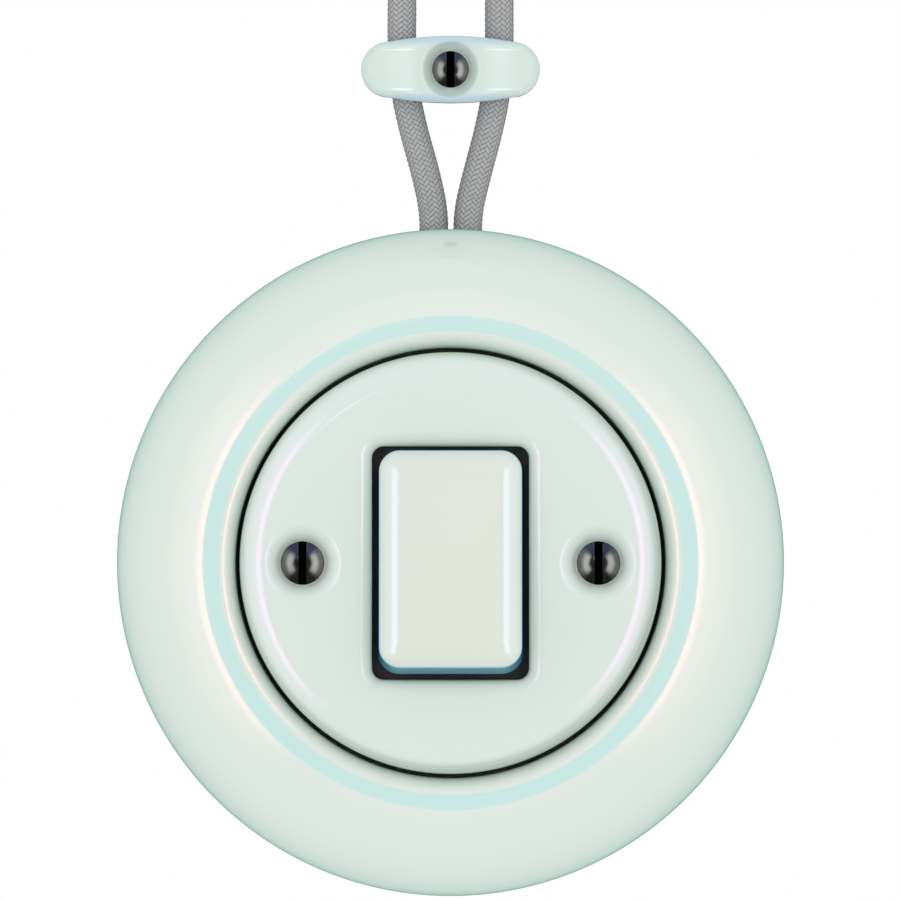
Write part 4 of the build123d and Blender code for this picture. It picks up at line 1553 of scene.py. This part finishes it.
@dataclass(frozen=True)
class Studio:
    """Camera, lamps and the white ground all round.

    What the gloss sees is placed by two values of a direction: its cosine from the switch's axis,
    and its turn, which is its height over its reach sideways. Each pair says where a change in
    the light begins and where it ends.
    """

    distance: float = 6.0
    reference_depth: float = 6.0
    view_mm: float = 135.0
    centre: tuple[float, float] = (-0.075, 16.875)
    sensor: float = 36.0
    clip_end: float = 20.0
    ambient: float = 0.98
    softbox: float = 2.4
    softbox_fade: tuple[float, float] = (-0.2, 0.7)
    softbox_edge: float = 6.0
    edge_cosines: tuple[float, float] = (0.72, 0.82)
    inner_cosines: tuple[float, float] = (0.94, 0.89)
    end_turns: tuple[float, float] = (1.35, 0.4)
    room: float = 0.3
    ground: float = 0.75
    ground_cosines: tuple[float, float] = (0.3, -0.4)
    sky: tuple[float, float, float] = (0.6, 0.65, 1.5)
    sky_heights: tuple[float, float] = (0.12, 0.55)
    sky_cosines: tuple[float, float] = (0.0, 0.5)
    window: tuple[float, float, float] = (-0.1446, -0.9677, 0.2065)
    window_cosines: tuple[float, float] = (0.9980, 0.9994)
    window_glow: float = 6.0
    panel: float = 1.4
    panel_place: tuple[float, float, float] = (-0.15, -1.95, 0.35)
    panel_watts: float = 2.0

    def camera(self) -> None:
        """Stands the camera square to the wall, far enough for the photograph's flat view."""
        lens = bpy.data.cameras.new("camera")
        lens.sensor_width = self.sensor
        gap = self.distance / MM - self.reference_depth
        lens.lens = self.sensor * gap / self.view_mm
        lens.clip_end = self.clip_end
        holder = new_piece("camera", lens)
        holder.location = (self.centre[0] * MM, -self.distance, self.centre[1] * MM)
        holder.rotation_euler = (QUARTER, 0, 0)
        bpy.context.scene.camera = holder

    def lamps(self) -> None:
        """Hangs one large soft panel above the camera."""
        lamp = bpy.data.lights.new("front_panel", "AREA")
        lamp.shape = "RECTANGLE"
        lamp.size = lamp.size_y = self.panel
        lamp.energy = self.panel_watts
        holder = new_piece("front_panel", lamp)
        holder.location = self.panel_place
        holder.rotation_euler = (-Vector(self.panel_place)).to_track_quat("-Z", "Y").to_euler()
        holder.visible_camera = False
        holder.visible_glossy = False

    def softboxes(self, tree: NodeTree) -> NodeSocket:
        """Makes what the gloss sees of the studio.

        It is a dim room with a tall softbox on each side, cool daylight from above and one small
        window high on the left. Each softbox is brightest along its inner edge and fades
        outwards, upwards and downwards.

        Args:
            tree: The world's tree.

        Returns:
            Socket with the radiance in red, green and blue.
        """
        way = add_node(tree, "ShaderNodeTexCoord", {}, "Generated")
        parts = add_node(tree, "ShaderNodeSeparateXYZ", {"Vector": way}).node.outputs
        math_node, vector, ramp = "ShaderNodeMath", "ShaderNodeVectorMath", "ShaderNodeMapRange"
        ahead = add_node(tree, math_node, {0: parts["Y"], 1: -1.0}, operation="MULTIPLY")
        aside, upright = (
            add_node(tree, math_node, {0: parts[axis]}, operation="ABSOLUTE") for axis in "XZ"
        )
        turn = add_node(tree, math_node, {0: upright, 1: aside}, operation="DIVIDE")
        towards = add_node(tree, vector, {0: way, 1: self.window}, "Value", operation="DOT_PRODUCT")
        inner, edge, ends, behind, high, front, window, fall = (
            add_node(
                tree,
                ramp,
                {"Value": value, "From Min": a, "From Max": b, "To Min": low, "To Max": top},
                interpolation_type=shape,
            )
            for shape, value, (a, b), low, top in (
                ("SMOOTHSTEP", ahead, self.inner_cosines, 0.0, 1.0),
                ("SMOOTHSTEP", ahead, self.edge_cosines, 0.0, self.softbox_edge),
                ("SMOOTHSTEP", turn, self.end_turns, 0.0, 1.0),
                ("SMOOTHSTEP", ahead, self.ground_cosines, self.room, self.ground),
                ("SMOOTHSTEP", parts["Z"], self.sky_heights, 0.0, 1.0),
                ("SMOOTHSTEP", ahead, self.sky_cosines, 0.0, 1.0),
                ("SMOOTHSTEP", towards, self.window_cosines, 0.0, self.window_glow),
                ("LINEAR", ahead, self.softbox_fade, 0.0, self.softbox),
            )
        )
        total = edge
        for operation, share in (
            ("ADD", fall),
            ("MULTIPLY", inner),
            ("MULTIPLY", ends),
            ("ADD", behind),
            ("ADD", window),
        ):
            total = add_node(tree, math_node, {0: total, 1: share}, operation=operation)
        above = add_node(tree, math_node, {0: high, 1: front}, operation="MULTIPLY")
        return add_node(tree, vector, {0: above, 1: self.sky, 2: total}, operation="MULTIPLY_ADD")

    def world(self) -> None:
        """Lights the switch evenly, shows white behind it, and gives its gloss the studio."""
        world = bpy.data.worlds.new("studio")
        bpy.context.scene.world = world
        world.use_nodes = True
        tree = world.node_tree
        tree.nodes.clear()
        ray = add_node(tree, "ShaderNodeLightPath", {}).node.outputs
        straight = {0: ray["Is Camera Ray"], 1: ray["Is Transmission Ray"]}
        clear = add_node(tree, "ShaderNodeMath", straight, operation="MAXIMUM")
        views = {"Factor": clear, "A": self.ambient, "B": 1.0}
        seen = add_node(tree, "ShaderNodeMix", views, "Result", data_type="FLOAT")
        gloss = {"Factor": ray["Is Glossy Ray"], "A": seen, "B": self.softboxes(tree)}
        colour = add_node(tree, "ShaderNodeMix", gloss, "Result", data_type="RGBA")
        light = add_node(tree, "ShaderNodeBackground", {"Color": colour, "Strength": 1.0})
        add_node(tree, "ShaderNodeOutputWorld", {"Surface": light})

    def build(self) -> None:
        """Sets up the camera, the lamps, the world and the plain view transform."""
        self.camera()
        self.lamps()
        self.world()
        bpy.context.scene.view_settings.view_transform = "Standard"


LEFT_ROUTE = [
    (-8.5, -12.5, 19.2), (-7.9, -11.4, 25.6), (-6.3, -8.8, 32.2),
    (-4.3, -5.6, 38.8), (-2.75, -3.2, 45.4), (-2.35, -2.35, 52.0),
    (-3.7, -2.35, 58.4), (-5.5, -2.35, 64.6), (-6.9, -2.35, 71.0),
    (-7.35, -2.35, 77.6), (-7.25, -2.35, 84.0), (-7.3, -2.35, 90.0),
]
RIGHT_ROUTE = [
    (8.5, -12.5, 19.2), (7.9, -11.4, 25.6), (6.3, -8.8, 32.2),
    (4.3, -5.6, 38.8), (2.8, -3.2, 45.4), (2.45, -2.35, 52.0),
    (4.0, -2.35, 58.4), (5.7, -2.35, 64.6), (7.0, -2.35, 71.0),
    (7.35, -2.35, 77.6), (7.3, -2.35, 84.0), (7.4, -2.35, 90.0),
]


def corners(box: tuple[Vector, Vector]) -> list[list[float]]:
    """Two corners as plain lists of numbers."""
    return [[float(v) for v in corner] for corner in box]


def main() -> None:
    """Builds the studio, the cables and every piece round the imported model."""
    logging.basicConfig(level=logging.INFO, format="%(message)s")
    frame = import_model()
    Studio().build()
    finishes = Finishes()
    Mechanism().dress(frame, finishes)
    cables = [
        BraidedCable(f"braided_cable_{side}", f"cable_{side}", f"wire_ends_{side}", route)
        for side, route in (("left", LEFT_ROUTE), ("right", RIGHT_ROUTE))
    ]
    cover, button, clip = PorcelainCover(), RockerButton(), CableClip()
    spring = DetentSpring(button.pivot, button.tilt)
    cover_screws = SlottedScrews(
        "slotted_cover_screws", "cover_screws", head_radius=3.25, head_edge=0.8, dome=0.8,
        seat=35.0, tip=22.0, pitch=0.6, thread_depth=0.36, point=0.0,
        places=[(-cover.screw_x, 0.0), (cover.screw_x, 0.0)],
    )
    clip_screw = SlottedScrews(
        "slotted_clip_screw", "clip_screw", head_radius=2.75, head_edge=0.7, dome=0.7,
        seat=7.2, tip=-16.0, pitch=1.6, thread_depth=0.45, point=4.0,
        places=[(0.0, clip.centre_z)],
    )
    parts = [*cables, PorcelainRing(), cover, button, spring, clip, cover_screws, clip_screw]
    pieces = [part.build(finishes) for part in parts]
    for piece in pieces:
        log.info("made %s with %d faces", piece.name, len(piece.data.polygons))


if __name__ == "__main__":
    main()
